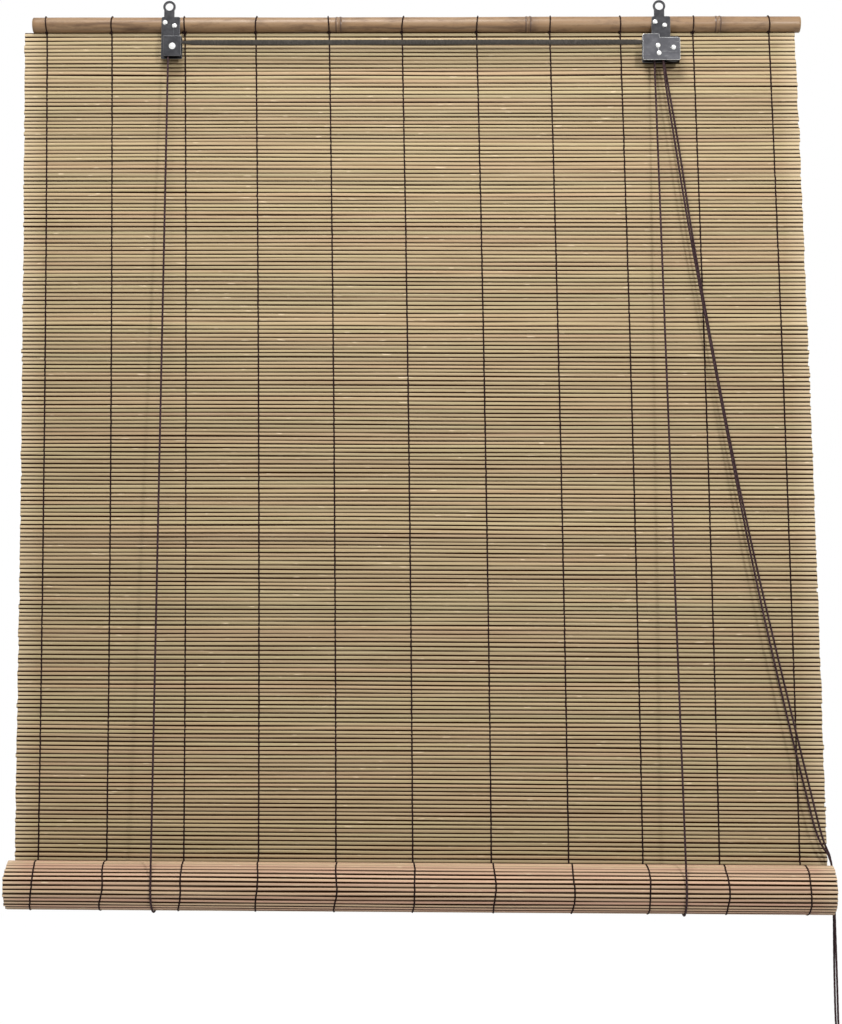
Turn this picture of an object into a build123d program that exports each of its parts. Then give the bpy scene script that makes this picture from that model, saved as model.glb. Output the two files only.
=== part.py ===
from build123d import *
import os
from math import acos, atan2, cos, degrees, hypot, pi, radians, sin, sqrt

os.makedirs("parts", exist_ok=True)

# A reed roll up blind hung from two eyes. Millimetres, +X right, +Y to the window, +Z up.
# The origin is midway between the centres of the two hanger eyes.

# Hanging points
eye_spacing = 634.0
eye_hole_diameter = 10.0
eye_ring_width = 3.2

# Hanger plates, flat strips that carry an eye above the pole and a cord housing below it
hanger_thickness = 1.5
hanger_width = 24.0
hanger_shift = 2.2
hanger_neck_width = 13.5
hanger_shoulder_drop = 13.5
plate_corner_radius = 2.0

# Head pole, a bamboo cane with three rings where its joints grew
pole_drop = 20.5
pole_length = 996.0
pole_diameter = 20.5
pole_shift = 2.0
pole_bore_diameter = 9.0
pole_end_chamfer = 0.8
ring_length = 8.0
ring_height = 0.9
ring_shares = (0.4, 0.647, 0.893)
diaphragm_thickness = 6.0

# Nails that hold each hanger plate on the pole
nail_head_radius = 3.5
nail_head_height = 1.7
nail_shank_radius = 1.2
nail_shank_length = 9.0
nail_clearance = 0.05
upper_nail_shift = -5.2
upper_nail_drop = 21.0
lower_nail_shift = 7.1
lower_nail_drop = 25.5

# Reed mat
mat_width = 1000.0
mat_shift = -7.0
mat_lean = 20.0
mat_pole_gap = 1.0
reed_pitch = 5.1
reed_thickness = 3.0
reed_web = 1.8
reed_crest_shares = (0.25, 0.75)
hanging_reeds = 213
gap_width = 0.6
gap_margin = 9.0
gap_reed_count = 3
gap_bay_count = 3

# Stitching threads, one loop over the pole and down both faces of the mat
thread_width = 1.8
thread_thickness = 0.8
thread_clearance = 0.1
thread_shares = (
    0.0294, 0.1141, 0.2095, 0.3018, 0.3973, 0.4919, 0.5887, 0.6835, 0.7746, 0.8685, 0.9667,
)

# Rolled part of the mat, wound forward on the bottom pole
wound_reeds = 136
turn_gap = 0.3
seam_gap = 0.3
bottom_pole_diameter = 20.0
bottom_pole_length = 990.0
bottom_pole_clearance = 0.3

# Cord housings, whose rise and fall are from the level of the upper axles
housing_thickness = 1.2
housing_gap = 9.0
left_plate_width = 23.0
left_plate_shift = 6.2
left_plate_rise = 13.4
left_plate_fall = 13.6
lock_left_reach = 22.6
lock_right_reach = 25.4
lock_rise = 15.4
lock_fall = 19.4
lock_step_height = 4.7
lock_step_shift = -1.0

# Axle rivets
rivet_radius = 1.5
rivet_clearance = 0.05
rivet_head_radius = 3.5
rivet_head_height = 1.7
left_rivet_head_radius = 4.6
rivet_tail_radius = 2.4
rivet_tail_height = 0.8
upper_rivet_shift = -2.9
lower_rivet_shift = -1.6
lower_rivet_fall = 10.1
pawl_rivet_shift = 17.0
pawl_rivet_fall = 2.6
pulley_drop = 56.4

# Pulleys
pulley_flange_radius = 7.0
pulley_hub_radius = 2.6
pulley_rim_width = 4.0
pulley_pitch_radius = 5.5
pulley_bore_clearance = 0.08
pulley_side_clearance = 0.25
groove_clearance = 0.2

# Toothed pawl of the cord lock
pawl_hub_radius = 4.6
pawl_root_radius = 18.2
pawl_tooth_height = 1.4
pawl_teeth = 9
pawl_left_angle = 242.0
pawl_right_angle = 296.0
pawl_side_clearance = 0.4

# Cords
cord_diameter = 2.5
cord_clearance = 0.3
left_sling_shift = 8.5
right_sling_shift = 15.8
tie_loop_shift = 16.2
tie_loop_angle = 240.0
coil_radius = 15.0
coil_bundle_radius = 6.0
coil_section_sides = 8
coil_tie_clearance = 0.6
coil_tie_wall = 1.0
coil_tie_length = 5.0

# Points that the pull cords run through, from under the lock down to the coil, with x from the right eye
pull_bend_share = 0.45
left_pull_points = [
    (6.0, -7.5, -95.0),
    (18.0, -7.5, -180.0),
    (36.0, -7.4, -295.0),
    (58.0, -7.3, -420.0),
    (84.0, -7.1, -565.0),
    (111.5, -6.9, -716.0),
    (142.5, -6.7, -865.0),
    (172.0, -6.5, -1010.0),
    (189.5, -6.4, -1062.0),
    (199.8, -6.4, -1084.0),
    (200.2, -6.3, -1150.0),
    (201.2, -6.2, -1215.0),
    (201.8, -6.2, -1291.0),
]
right_pull_points = [
    (8.5, -3.0, -105.0),
    (21.5, -3.0, -190.0),
    (37.5, -3.0, -300.0),
    (55.5, -3.0, -420.0),
    (79.5, -2.9, -565.0),
    (106.0, -2.8, -716.0),
    (136.5, -2.7, -865.0),
    (167.5, -2.6, -1010.0),
    (187.5, -2.5, -1062.0),
    (199.6, -2.5, -1084.0),
    (199.8, -2.5, -1150.0),
    (198.8, -2.6, -1215.0),
    (199.4, -2.6, -1291.0),
]

# One overrun for every cut
overrun = 1.0

# Places worked out from the sizes above
eye_radius = eye_hole_diameter / 2 + eye_ring_width
pole_radius = pole_diameter / 2
pole_y = hanger_thickness / 2 + pole_radius
pole_left = pole_shift - pole_length / 2
mat_top = -pole_drop - pole_radius - mat_pole_gap
hang_length = hanging_reeds * reed_pitch
roll_z = mat_top - hang_length
mat_left = mat_shift - mat_width / 2
mat_half = reed_thickness / 2
lean_angle = degrees(atan2(mat_lean, hang_length))
turn_pitch = reed_thickness + turn_gap
bottom_pole_radius = bottom_pole_diameter / 2
inner_turn_radius = bottom_pole_radius + bottom_pole_clearance + mat_half
outer_turn_radius = sqrt(inner_turn_radius**2 + wound_reeds * reed_pitch * turn_pitch / pi)
roll_radius = outer_turn_radius + mat_half
roll_y = pole_y - outer_turn_radius
cord_radius = cord_diameter / 2
back_face_y = -hanger_thickness / 2
front_inner_y = back_face_y - housing_gap
front_face_y = front_inner_y - housing_thickness
front_rim_y = front_inner_y + pulley_side_clearance + pulley_rim_width / 2
rear_rim_y = back_face_y - pulley_side_clearance - pulley_rim_width / 2
left_eye_x = -eye_spacing / 2
right_eye_x = eye_spacing / 2
left_rivet_x = left_eye_x + left_plate_shift
upper_rivet_x = right_eye_x + upper_rivet_shift
lower_rivet_x = right_eye_x + lower_rivet_shift
pawl_rivet_x = right_eye_x + pawl_rivet_shift
lower_rivet_drop = pulley_drop + lower_rivet_fall
pawl_rivet_drop = pulley_drop + pawl_rivet_fall
left_plate_drop = pulley_drop - left_plate_rise
left_plate_height = left_plate_rise + left_plate_fall
lock_top_drop = pulley_drop - lock_rise
lock_bottom_drop = pulley_drop + lock_fall
left_sling_x = left_eye_x + left_sling_shift
right_sling_x = right_eye_x + right_sling_shift


def save(solids, name):
    """Write the solids of one node to its own file."""
    shape = Compound(children=solids) if isinstance(solids, list) else solids
    shape.label = name
    export_step(shape, f"parts/{name}.step")


def turned_along_y(outline):
    """Revolve a closed outline of (radius, depth) points about the Y axis."""
    return revolve(Plane.XY * make_face(outline), Axis.Y)


def tube(path, radius):
    """A round cord along a path."""
    return sweep(Plane(origin=path @ 0, z_dir=path % 0) * Circle(radius), path=path)


# Rivets and nails, with the head towards the viewer
def headed_pin(head_radius, head_height, shank_radius, shank_length, tail_radius, tail_height):
    """A domed pin whose head stands on the plane y = 0 and whose shank runs to +Y."""
    dome = ThreePointArc(
        (0, -head_height),
        (head_radius * sin(pi / 4), -head_height * sin(pi / 4)),
        (head_radius, 0),
    )
    under = Polyline((head_radius, 0), (shank_radius, 0), (shank_radius, shank_length))
    if tail_radius > shank_radius:
        tail = Polyline(
            (shank_radius, shank_length),
            (tail_radius, shank_length),
            (shank_radius, shank_length + tail_height),
            (0, shank_length + tail_height),
        )
    else:
        tail = Polyline((shank_radius, shank_length), (0, shank_length + tail_height))
    close = Line((0, shank_length + tail_height), (0, -head_height))
    return turned_along_y([*dome.edges(), *under.edges(), *tail.edges(), close])


def hanger_nails(eye_x):
    """The two nails of one hanger plate."""
    nail = headed_pin(
        nail_head_radius,
        nail_head_height,
        nail_shank_radius,
        nail_shank_length,
        nail_shank_radius,
        nail_shank_radius,
    )
    return [Pos(x, back_face_y, z) * nail for x, z in nail_places(eye_x)]


def nail_places(eye_x):
    """Where the two nails of one hanger plate go in."""
    return [
        (eye_x + upper_nail_shift, -upper_nail_drop),
        (eye_x + lower_nail_shift, -lower_nail_drop),
    ]


def axle_rivet(x, z, head_radius):
    """A rivet through both cheeks of a housing, peened over behind."""
    length = housing_thickness + housing_gap + hanger_thickness
    pin = headed_pin(
        head_radius, rivet_head_height, rivet_radius, length, rivet_tail_radius, rivet_tail_height
    )
    return Pos(x, front_face_y, z) * pin


# Sheet metal
def block(left, right, bottom, top):
    """A flat rectangle between two sides and two heights, seen from the front."""
    return Pos((left + right) / 2, (bottom + top) / 2) * Rectangle(right - left, top - bottom)


def rounded(outline):
    """The same flat outline with its corners rounded."""
    return fillet(outline.vertices(), plate_corner_radius)


def round_holes(places, radius):
    """Round holes for a flat sheet."""
    return Sketch() + [Pos(x, z) * Circle(radius) for x, z in places]


def sheet_between(outline, front, back):
    """Extrude a front outline from one depth to another."""
    return extrude(Plane.XZ.offset(-back) * outline, amount=back - front)


def hanger_plate(eye_x, tail_left, tail_right, tail_top, tail_bottom, rivets):
    """One strip: the eye, its neck, the part nailed on the pole and the back cheek of the housing."""
    body_left = eye_x + hanger_shift - hanger_width / 2
    outline = rounded(block(body_left, body_left + hanger_width, tail_bottom, -hanger_shoulder_drop))
    outline += rounded(block(tail_left, tail_right, tail_bottom, tail_top))
    outline += block(
        eye_x - hanger_neck_width / 2,
        eye_x + hanger_neck_width / 2,
        -hanger_shoulder_drop - plate_corner_radius,
        0,
    )
    outline += Pos(eye_x, 0) * Circle(eye_radius)
    outline -= Pos(eye_x, 0) * Circle(eye_hole_diameter / 2)
    outline -= round_holes(nail_places(eye_x), nail_shank_radius + nail_clearance)
    outline -= round_holes(rivets, rivet_radius + rivet_clearance)
    return sheet_between(outline, back_face_y, -back_face_y)


def left_housing(rivet_z):
    """Front cheek of the pulley on the left, folded back along its top and its outer side."""
    left = left_rivet_x - left_plate_width / 2
    right = left + left_plate_width
    bottom = -left_plate_drop - left_plate_height
    face = block(left, right, bottom, -left_plate_drop)
    face = fillet(face.vertices().group_by(Axis.Y)[0], plate_corner_radius)
    face -= round_holes([(left_rivet_x, rivet_z)], rivet_radius + rivet_clearance)
    top = block(left, right, -left_plate_drop - housing_thickness, -left_plate_drop)
    side = block(left, left + housing_thickness, bottom + plate_corner_radius, -left_plate_drop)
    cheek = sheet_between(face, front_face_y, front_inner_y)
    return cheek + sheet_between(top + side, front_face_y, back_face_y)


def lock_housing(rivets):
    """Front cheek of the cord lock, stepped along its top, where it is folded back."""
    left = right_eye_x - lock_left_reach
    right = right_eye_x + lock_right_reach
    step = right_eye_x + lock_step_shift
    low_top = -lock_top_drop - lock_step_height
    face = rounded(block(left, right, -lock_bottom_drop, low_top))
    face += rounded(block(left, step, -lock_bottom_drop, -lock_top_drop))
    face -= round_holes(rivets, rivet_radius + rivet_clearance)
    inset = plate_corner_radius
    folds = block(left + inset, step - inset, -lock_top_drop - housing_thickness, -lock_top_drop)
    folds += block(step + inset, right - inset, low_top - housing_thickness, low_top)
    cheek = sheet_between(face, front_face_y, front_inner_y)
    return cheek + sheet_between(folds, front_face_y, back_face_y)


# Pulleys
def pulley(x, z, rim_y):
    """A grooved wheel on a long hub that fills the housing from cheek to cheek."""
    front = front_inner_y + pulley_side_clearance
    back = back_face_y - pulley_side_clearance
    groove = cord_radius + groove_clearance
    hub = sheet_between(Circle(pulley_hub_radius), front, back)
    disc = Circle(pulley_flange_radius)
    rim = sheet_between(disc, rim_y - pulley_rim_width / 2, rim_y + pulley_rim_width / 2)
    channel = sheet_between(disc - Circle(pulley_pitch_radius), rim_y - groove, rim_y + groove)
    bed = Pos(0, rim_y, 0) * Rot(90, 0, 0) * Torus(pulley_pitch_radius, groove)
    bore = sheet_between(Circle(rivet_radius + pulley_bore_clearance), front, back)
    return Pos(x, 0, z) * (hub + rim - channel - bed - bore)


def lock_pawl():
    """The toothed sector that pinches the pull cords, hung on its own rivet."""
    points = [(0, 0)]
    step = radians(pawl_right_angle - pawl_left_angle) / pawl_teeth
    start = radians(pawl_left_angle)
    tip = pawl_root_radius + pawl_tooth_height
    for tooth in range(pawl_teeth):
        root_at = start + tooth * step
        tip_at = root_at + step / 2
        points.append((pawl_root_radius * cos(root_at), pawl_root_radius * sin(root_at)))
        points.append((tip * cos(tip_at), tip * sin(tip_at)))
    last = start + pawl_teeth * step
    points.append((pawl_root_radius * cos(last), pawl_root_radius * sin(last)))
    face = make_face(Polyline(*points, close=True)) + Circle(pawl_hub_radius)
    face -= Circle(rivet_radius + pulley_bore_clearance)
    face = Pos(pawl_rivet_x, -pawl_rivet_drop) * face
    front = front_inner_y + pawl_side_clearance
    return sheet_between(face, front, back_face_y - pawl_side_clearance)


# Head pole
def head_pole():
    """A cane with raised rings, hollow from each end to its nearest ring."""
    along = [pole_left + share * pole_length for share in ring_shares]
    edges = []
    start = pole_left + pole_end_chamfer
    for ring in along:
        low = ring - ring_length / 2
        high = ring + ring_length / 2
        edges.append(Line((start, pole_radius), (low, pole_radius)))
        crest = (ring, pole_radius + ring_height)
        edges.append(ThreePointArc((low, pole_radius), crest, (high, pole_radius)))
        start = high
    right = pole_left + pole_length
    end = Polyline(
        (start, pole_radius),
        (right - pole_end_chamfer, pole_radius),
        (right, pole_radius - pole_end_chamfer),
        (right, 0),
        (pole_left, 0),
        (pole_left, pole_radius - pole_end_chamfer),
        (pole_left + pole_end_chamfer, pole_radius),
    )
    cane = revolve(Plane.XZ * make_face([*edges, *end.edges()]), Axis.X)
    left_depth = along[0] - diaphragm_thickness / 2 - pole_left
    right_depth = right - along[-1] - diaphragm_thickness / 2
    cane -= bore_along_x(pole_left, left_depth)
    cane -= bore_along_x(right - right_depth, right_depth)
    cane = Pos(0, pole_y, -pole_drop) * cane
    depth = nail_shank_length + nail_shank_radius + nail_clearance
    for eye_x in (left_eye_x, right_eye_x):
        holes = round_holes(nail_places(eye_x), nail_shank_radius + nail_clearance)
        cane -= sheet_between(holes, back_face_y, back_face_y + depth)
    return cane


def bore_along_x(start, depth):
    """A round hole along the cane."""
    return extrude(Plane.YZ.offset(start) * Circle(pole_bore_diameter / 2), amount=depth)


# Reed mat
def leaned(z):
    """How far the hanging mat has drifted sideways at a height."""
    return mat_lean * (mat_top - z) / hang_length


def thread_x(share):
    """Where a thread crosses the top of the mat."""
    return mat_left + share * mat_width


def reed_side(rows, face):
    """One face of the mat as points down the rows, each a ridge with its crest between two grooves."""
    points = []
    for high, low in zip(rows[:-1], rows[1:]):
        points.append((face * reed_web / 2, high))
        points += [(face * mat_half, high + share * (low - high)) for share in reed_crest_shares]
    return [*points, (face * reed_web / 2, rows[-1])]


def reed_mat():
    """One wall of ridges, open in slits between the reeds."""
    bottom = roll_z + seam_gap
    rows = [mat_top - row * reed_pitch for row in range(hanging_reeds)] + [bottom]
    section = make_face(Polyline(*reed_side(rows, -1), *reversed(reed_side(rows, 1)), close=True))
    ridges = Plane.YZ.offset(mat_left - overrun) * section
    wall = extrude(ridges, amount=mat_width + mat_lean + 2 * overrun)
    outline = Polyline(
        (mat_left, mat_top),
        (mat_left + mat_width, mat_top),
        (mat_left + mat_width + leaned(bottom), bottom),
        (mat_left + leaned(bottom), bottom),
        close=True,
    )
    wall = wall & sheet_between(make_face(outline), -mat_half - overrun, mat_half + overrun)
    wall = wall - sheet_between(mat_gaps(rows), -mat_half - overrun, mat_half + overrun)
    return Pos(0, pole_y, 0) * wall


def mat_gaps(rows):
    """Slits between neighbouring reeds, each in one bay between two threads."""
    bays = len(thread_shares) - 1
    gaps = []
    for count, row in enumerate(range(gap_reed_count, hanging_reeds - gap_reed_count, gap_reed_count)):
        bay = count * gap_bay_count % bays
        z = rows[row]
        left = thread_x(thread_shares[bay]) + leaned(z) + gap_margin
        right = thread_x(thread_shares[bay + 1]) + leaned(z) - gap_margin
        gaps.append(block(left, right, z - gap_width / 2, z + gap_width / 2))
    return Sketch() + gaps


def tangent_point(radius, y, z):
    """Where a line from a point below the pole meets a circle round the pole, on the front."""
    angle = atan2(z + pole_drop, y) - acos(radius / hypot(y, z + pole_drop))
    return (radius * cos(angle), radius * sin(angle) - pole_drop)


def thread_side(offset):
    """One face of a thread, as edges from the front of the mat over the pole to its back."""
    face = mat_half + offset
    foot = roll_z + 2 * reed_pitch
    knee = mat_top - 2 * reed_pitch
    radius = pole_radius + offset
    touch = tangent_point(radius, -face, knee)
    over = ThreePointArc(touch, (0, radius - pole_drop), (-touch[0], touch[1]))
    up = Polyline((-face, foot), (-face, knee), touch)
    down = Polyline((-touch[0], touch[1]), (face, knee), (face, foot))
    return [*up.edges(), over, *down.edges()]


def stitch_thread(share):
    """A thread looped over the pole, leaning with the mat."""
    near = thread_clearance
    far = thread_clearance + thread_thickness
    foot = roll_z + 2 * reed_pitch
    feet = [Line((side * (mat_half + near), foot), (side * (mat_half + far), foot)) for side in (-1, 1)]
    loop = Plane.YZ * make_face([*thread_side(near), *thread_side(far), *feet])
    strip = extrude(loop, amount=thread_width / 2, both=True)
    return Pos(thread_x(share), pole_y, mat_top) * Rot(0, -lean_angle, 0) * Pos(0, 0, -mat_top) * strip


# Roll
def spiral(wound, offset):
    """A point of the roll's section, by the length wound so far and the offset from mid thickness."""
    radius = sqrt(outer_turn_radius**2 - wound * turn_pitch / pi)
    angle = 2 * pi * (outer_turn_radius - radius) / turn_pitch
    return ((radius + offset) * cos(angle), -(radius + offset) * sin(angle))


def reed_roll():
    """All turns of the wound mat in one piece, ridged outside like the hanging mat."""
    outside = []
    inside = []
    for reed in range(wound_reeds):
        outside.append(spiral(reed * reed_pitch, reed_web / 2))
        outside += [spiral((reed + share) * reed_pitch, mat_half) for share in reed_crest_shares]
        inside.append(spiral(reed * reed_pitch, -reed_web / 2))
    outside.append(spiral(wound_reeds * reed_pitch, reed_web / 2))
    inside.append(spiral(wound_reeds * reed_pitch, -reed_web / 2))
    turns = make_face(Polyline(*outside, *reversed(inside), close=True))
    return Pos(mat_left + mat_lean, roll_y, roll_z) * extrude(Plane.YZ * turns, amount=mat_width)


def bottom_pole():
    """The plain cane that the mat is wound on."""
    left = mat_shift + mat_lean - bottom_pole_length / 2
    cane = extrude(Plane.YZ.offset(left) * Circle(bottom_pole_radius), amount=bottom_pole_length)
    cane = chamfer(cane.edges().filter_by(GeomType.CIRCLE), pole_end_chamfer)
    return Pos(0, roll_y, roll_z) * cane


# Lift cords
sling_radius = roll_radius + cord_clearance + cord_radius


def sling_lift(from_y, from_z):
    """Angle above level at which a straight cord from the front meets the sling's circle."""
    across = from_y - roll_y
    up = from_z - roll_z
    return atan2(up, across) + acos(sling_radius / hypot(across, up)) - pi


def back_strand(foot, loop_x):
    """A straight cord behind the mat that ends in a turn over the pole."""
    loop_radius = pole_radius + cord_clearance + cord_radius
    head = Vector(loop_x, pole_y + loop_radius, -pole_drop)
    rise = head - foot
    side = Vector(1, 0, 0).cross(rise).cross(rise) * -1
    loop_plane = Plane(origin=head, x_dir=rise, z_dir=side)
    up = Line((-rise.length, 0), (0, 0))
    loop = CenterArc((0, loop_radius), loop_radius, -90, tie_loop_angle)
    return tube(loop_plane * Wire([up, loop]), cord_radius)


def lift_cord(eye_x, top_x, top_y, top_z, sling_x):
    """The front strand, the sling under the roll and the back strand with its turn over the pole."""
    lift = sling_lift(top_y, top_z)
    touch_y = roll_y - sling_radius * cos(lift)
    touch_z = roll_z - sling_radius * sin(lift)
    start = (top_x, top_y, top_z - cord_clearance)
    strand = tube(Line(start, (sling_x, touch_y, touch_z + cord_clearance)), cord_radius)
    circle = Plane(origin=(sling_x, roll_y, roll_z), x_dir=(0, 1, 0), z_dir=(1, 0, 0))
    sling_arc = circle * CenterArc((0, 0), sling_radius, 180 + degrees(lift), 180 - degrees(lift))
    sling = tube(sling_arc, cord_radius)
    foot = Vector(sling_x, roll_y + sling_radius, roll_z + cord_clearance)
    return strand, sling, back_strand(foot, eye_x + tie_loop_shift)


def over_pulley(x, z, y, start_angle, sweep_angle):
    """The part of a cord that lies in a pulley's groove."""
    wheel = Plane(origin=(x, y, z), x_dir=(1, 0, 0), z_dir=(0, -1, 0))
    return wheel * CenterArc((0, 0), pulley_pitch_radius, start_angle, sweep_angle)


def crossing_cord():
    """The left lift cord from its pulley along the pole to the upper pulley of the lock."""
    rise = over_pulley(left_rivet_x, -pulley_drop, front_rim_y, 180, -90)
    fall = over_pulley(upper_rivet_x, -pulley_drop, front_rim_y, 90, -90)
    return tube(Wire([rise, Line(rise @ 1, fall @ 0), fall]), cord_radius)


# Pull cords
left_pull_route = [
    (upper_rivet_x + pulley_pitch_radius, front_rim_y, -pulley_drop - cord_clearance),
    *[(right_eye_x + x, y, z) for x, y, z in left_pull_points],
]
right_pull_route = [
    (lower_rivet_x + pulley_pitch_radius, rear_rim_y, -lower_rivet_drop - cord_clearance),
    *[(right_eye_x + x, y, z) for x, y, z in right_pull_points],
]


def route_radii(points):
    """The largest bend at each corner that its two runs leave room for."""
    radii = []
    for before, corner, after in zip(points[:-2], points[1:-1], points[2:]):
        into = Vector(*corner) - Vector(*before)
        out = Vector(*after) - Vector(*corner)
        half_turn = radians(into.get_angle(out)) / 2
        radii.append(pull_bend_share * min(into.length, out.length) * cos(half_turn) / sin(half_turn))
    return radii


def pull_cord(name, points):
    """A pull cord from the lock down to the top of its coil."""
    radii = route_radii(points)
    path = FilletPolyline(*points, radius=radii)
    cord = tube(path, cord_radius)
    print(name, "length", round(path.length), "radii", [round(radius) for radius in radii])
    print(name, "volume share", round(cord.volume / (pi * cord_radius**2 * path.length), 4))
    return cord


coil_x = (left_pull_route[-1][0] + right_pull_route[-1][0]) / 2 - coil_radius
coil_y = (left_pull_route[-1][1] + right_pull_route[-1][1]) / 2
coil_outside = coil_radius + coil_bundle_radius
coil_inner_line = coil_radius - cord_diameter
coil_z = left_pull_route[-1][2] - sqrt(coil_outside**2 - coil_inner_line**2) - cord_clearance


def pull_coil():
    """Both pull cords' spare length, wound together into a ring."""
    section = Plane.XZ * Pos(coil_radius, 0) * RegularPolygon(coil_bundle_radius, coil_section_sides)
    return Pos(coil_x, coil_y, coil_z) * Rot(90, 0, 0) * revolve(section, Axis.Z)


def pull_tie():
    """The band that holds the coil where the cords run into it."""
    inner = coil_bundle_radius + coil_tie_clearance
    band = Cylinder(inner + coil_tie_wall, coil_tie_length) - Cylinder(inner, coil_tie_length)
    return Pos(coil_x + coil_radius, coil_y, coil_z) * band


# Hangers, housings and their rivets
left_rivets = [(left_rivet_x, -pulley_drop)]
lock_rivets = [
    (upper_rivet_x, -pulley_drop),
    (lower_rivet_x, -lower_rivet_drop),
    (pawl_rivet_x, -pawl_rivet_drop),
]
left_cheek_bottom = -left_plate_drop - left_plate_height
left_cheek = (
    left_rivet_x - left_plate_width / 2,
    left_rivet_x + left_plate_width / 2,
    -left_plate_drop,
    left_cheek_bottom,
)
lock_cheek = (
    right_eye_x - lock_left_reach,
    right_eye_x + lock_right_reach,
    -lock_top_drop,
    -lock_bottom_drop,
)
save(hanger_plate(left_eye_x, *left_cheek, left_rivets), "hanger_plate_left")
save(hanger_plate(right_eye_x, *lock_cheek, lock_rivets), "hanger_plate_right")
save(hanger_nails(left_eye_x), "hanger_nails_left")
save(hanger_nails(right_eye_x), "hanger_nails_right")
save(left_housing(-pulley_drop), "pulley_housing_left")
save(lock_housing(lock_rivets), "cord_lock_housing")
save(axle_rivet(*left_rivets[0], left_rivet_head_radius), "pulley_rivet_left")
save([axle_rivet(x, z, rivet_head_radius) for x, z in lock_rivets], "cord_lock_rivets")
save(pulley(left_rivet_x, -pulley_drop, front_rim_y), "pulley_left")
save(pulley(upper_rivet_x, -pulley_drop, front_rim_y), "pulley_lock_upper")
save(pulley(lower_rivet_x, -lower_rivet_drop, rear_rim_y), "pulley_lock_lower")
save(lock_pawl(), "cord_lock_pawl")

# Cane, mat and stitching
save(head_pole(), "head_pole")
save(reed_mat(), "reed_mat")
for number, share in enumerate(thread_shares, start=1):
    save(stitch_thread(share), f"stitch_thread_{number:02d}")
save(reed_roll(), "reed_roll")
save(bottom_pole(), "bottom_pole")

# Cords
left_top_x = left_rivet_x - pulley_pitch_radius
right_top_x = lower_rivet_x - pulley_pitch_radius
left_cord = lift_cord(left_eye_x, left_top_x, front_rim_y, -pulley_drop, left_sling_x)
right_cord = lift_cord(right_eye_x, right_top_x, rear_rim_y, -lower_rivet_drop, right_sling_x)
for side, solids in (("left", left_cord), ("right", right_cord)):
    for solid, place in zip(solids, ("front", "sling", "back")):
        save(solid, f"lift_cord_{side}_{place}")
right_turn = over_pulley(lower_rivet_x, -lower_rivet_drop, rear_rim_y, 180, -180)
save(tube(right_turn, cord_radius), "lift_cord_right_turn")
save(crossing_cord(), "crossing_cord")
save(pull_cord("left pull cord", left_pull_route), "pull_cord_left")
save(pull_cord("right pull cord", right_pull_route), "pull_cord_right")
save(pull_coil(), "pull_cord_coil")
save(pull_tie(), "pull_cord_tie")
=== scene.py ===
import logging
from dataclasses import dataclass, field
from enum import Enum
from math import acos, atan2, cos, hypot, pi, radians, sin, sqrt

import bmesh
import bpy
import numpy as np
from mathutils import Matrix, Vector


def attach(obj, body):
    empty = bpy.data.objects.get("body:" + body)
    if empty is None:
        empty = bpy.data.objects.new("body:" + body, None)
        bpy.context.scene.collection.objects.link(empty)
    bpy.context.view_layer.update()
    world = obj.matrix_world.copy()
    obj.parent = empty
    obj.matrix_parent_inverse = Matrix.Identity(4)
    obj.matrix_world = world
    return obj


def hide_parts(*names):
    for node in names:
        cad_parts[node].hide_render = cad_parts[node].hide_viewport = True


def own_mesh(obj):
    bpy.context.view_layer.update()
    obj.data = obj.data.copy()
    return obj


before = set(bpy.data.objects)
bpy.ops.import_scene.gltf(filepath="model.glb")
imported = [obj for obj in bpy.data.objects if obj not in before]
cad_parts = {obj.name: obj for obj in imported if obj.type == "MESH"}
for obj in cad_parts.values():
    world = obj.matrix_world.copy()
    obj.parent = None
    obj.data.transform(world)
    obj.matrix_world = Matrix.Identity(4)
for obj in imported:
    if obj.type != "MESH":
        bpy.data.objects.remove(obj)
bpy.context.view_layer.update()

LOG = logging.getLogger("reed_blind")

Point = tuple[float, float, float]
Colour = tuple[float, float, float, float]


class Body(Enum):
    """The bodies of the frame that pieces ride on."""

    HEAD = "head"
    SLINGS = "lift_slings"
    ROLL = "roll"


class Side(Enum):
    """The two ends of the blind."""

    LEFT = "left"
    RIGHT = "right"


def paint(red: int, green: int, blue: int) -> Colour:
    """Turn a screen colour into the linear colour that a shader takes.

    Args:
        red: Red from 0 to 255.
        green: Green from 0 to 255.
        blue: Blue from 0 to 255.

    Returns:
        The colour with full alpha.
    """
    shares = [value / 255 for value in (red, green, blue)]
    light = [s / 12.92 if s <= 0.04045 else ((s + 0.055) / 1.055) ** 2.4 for s in shares]
    return (light[0], light[1], light[2], 1.0)


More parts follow.
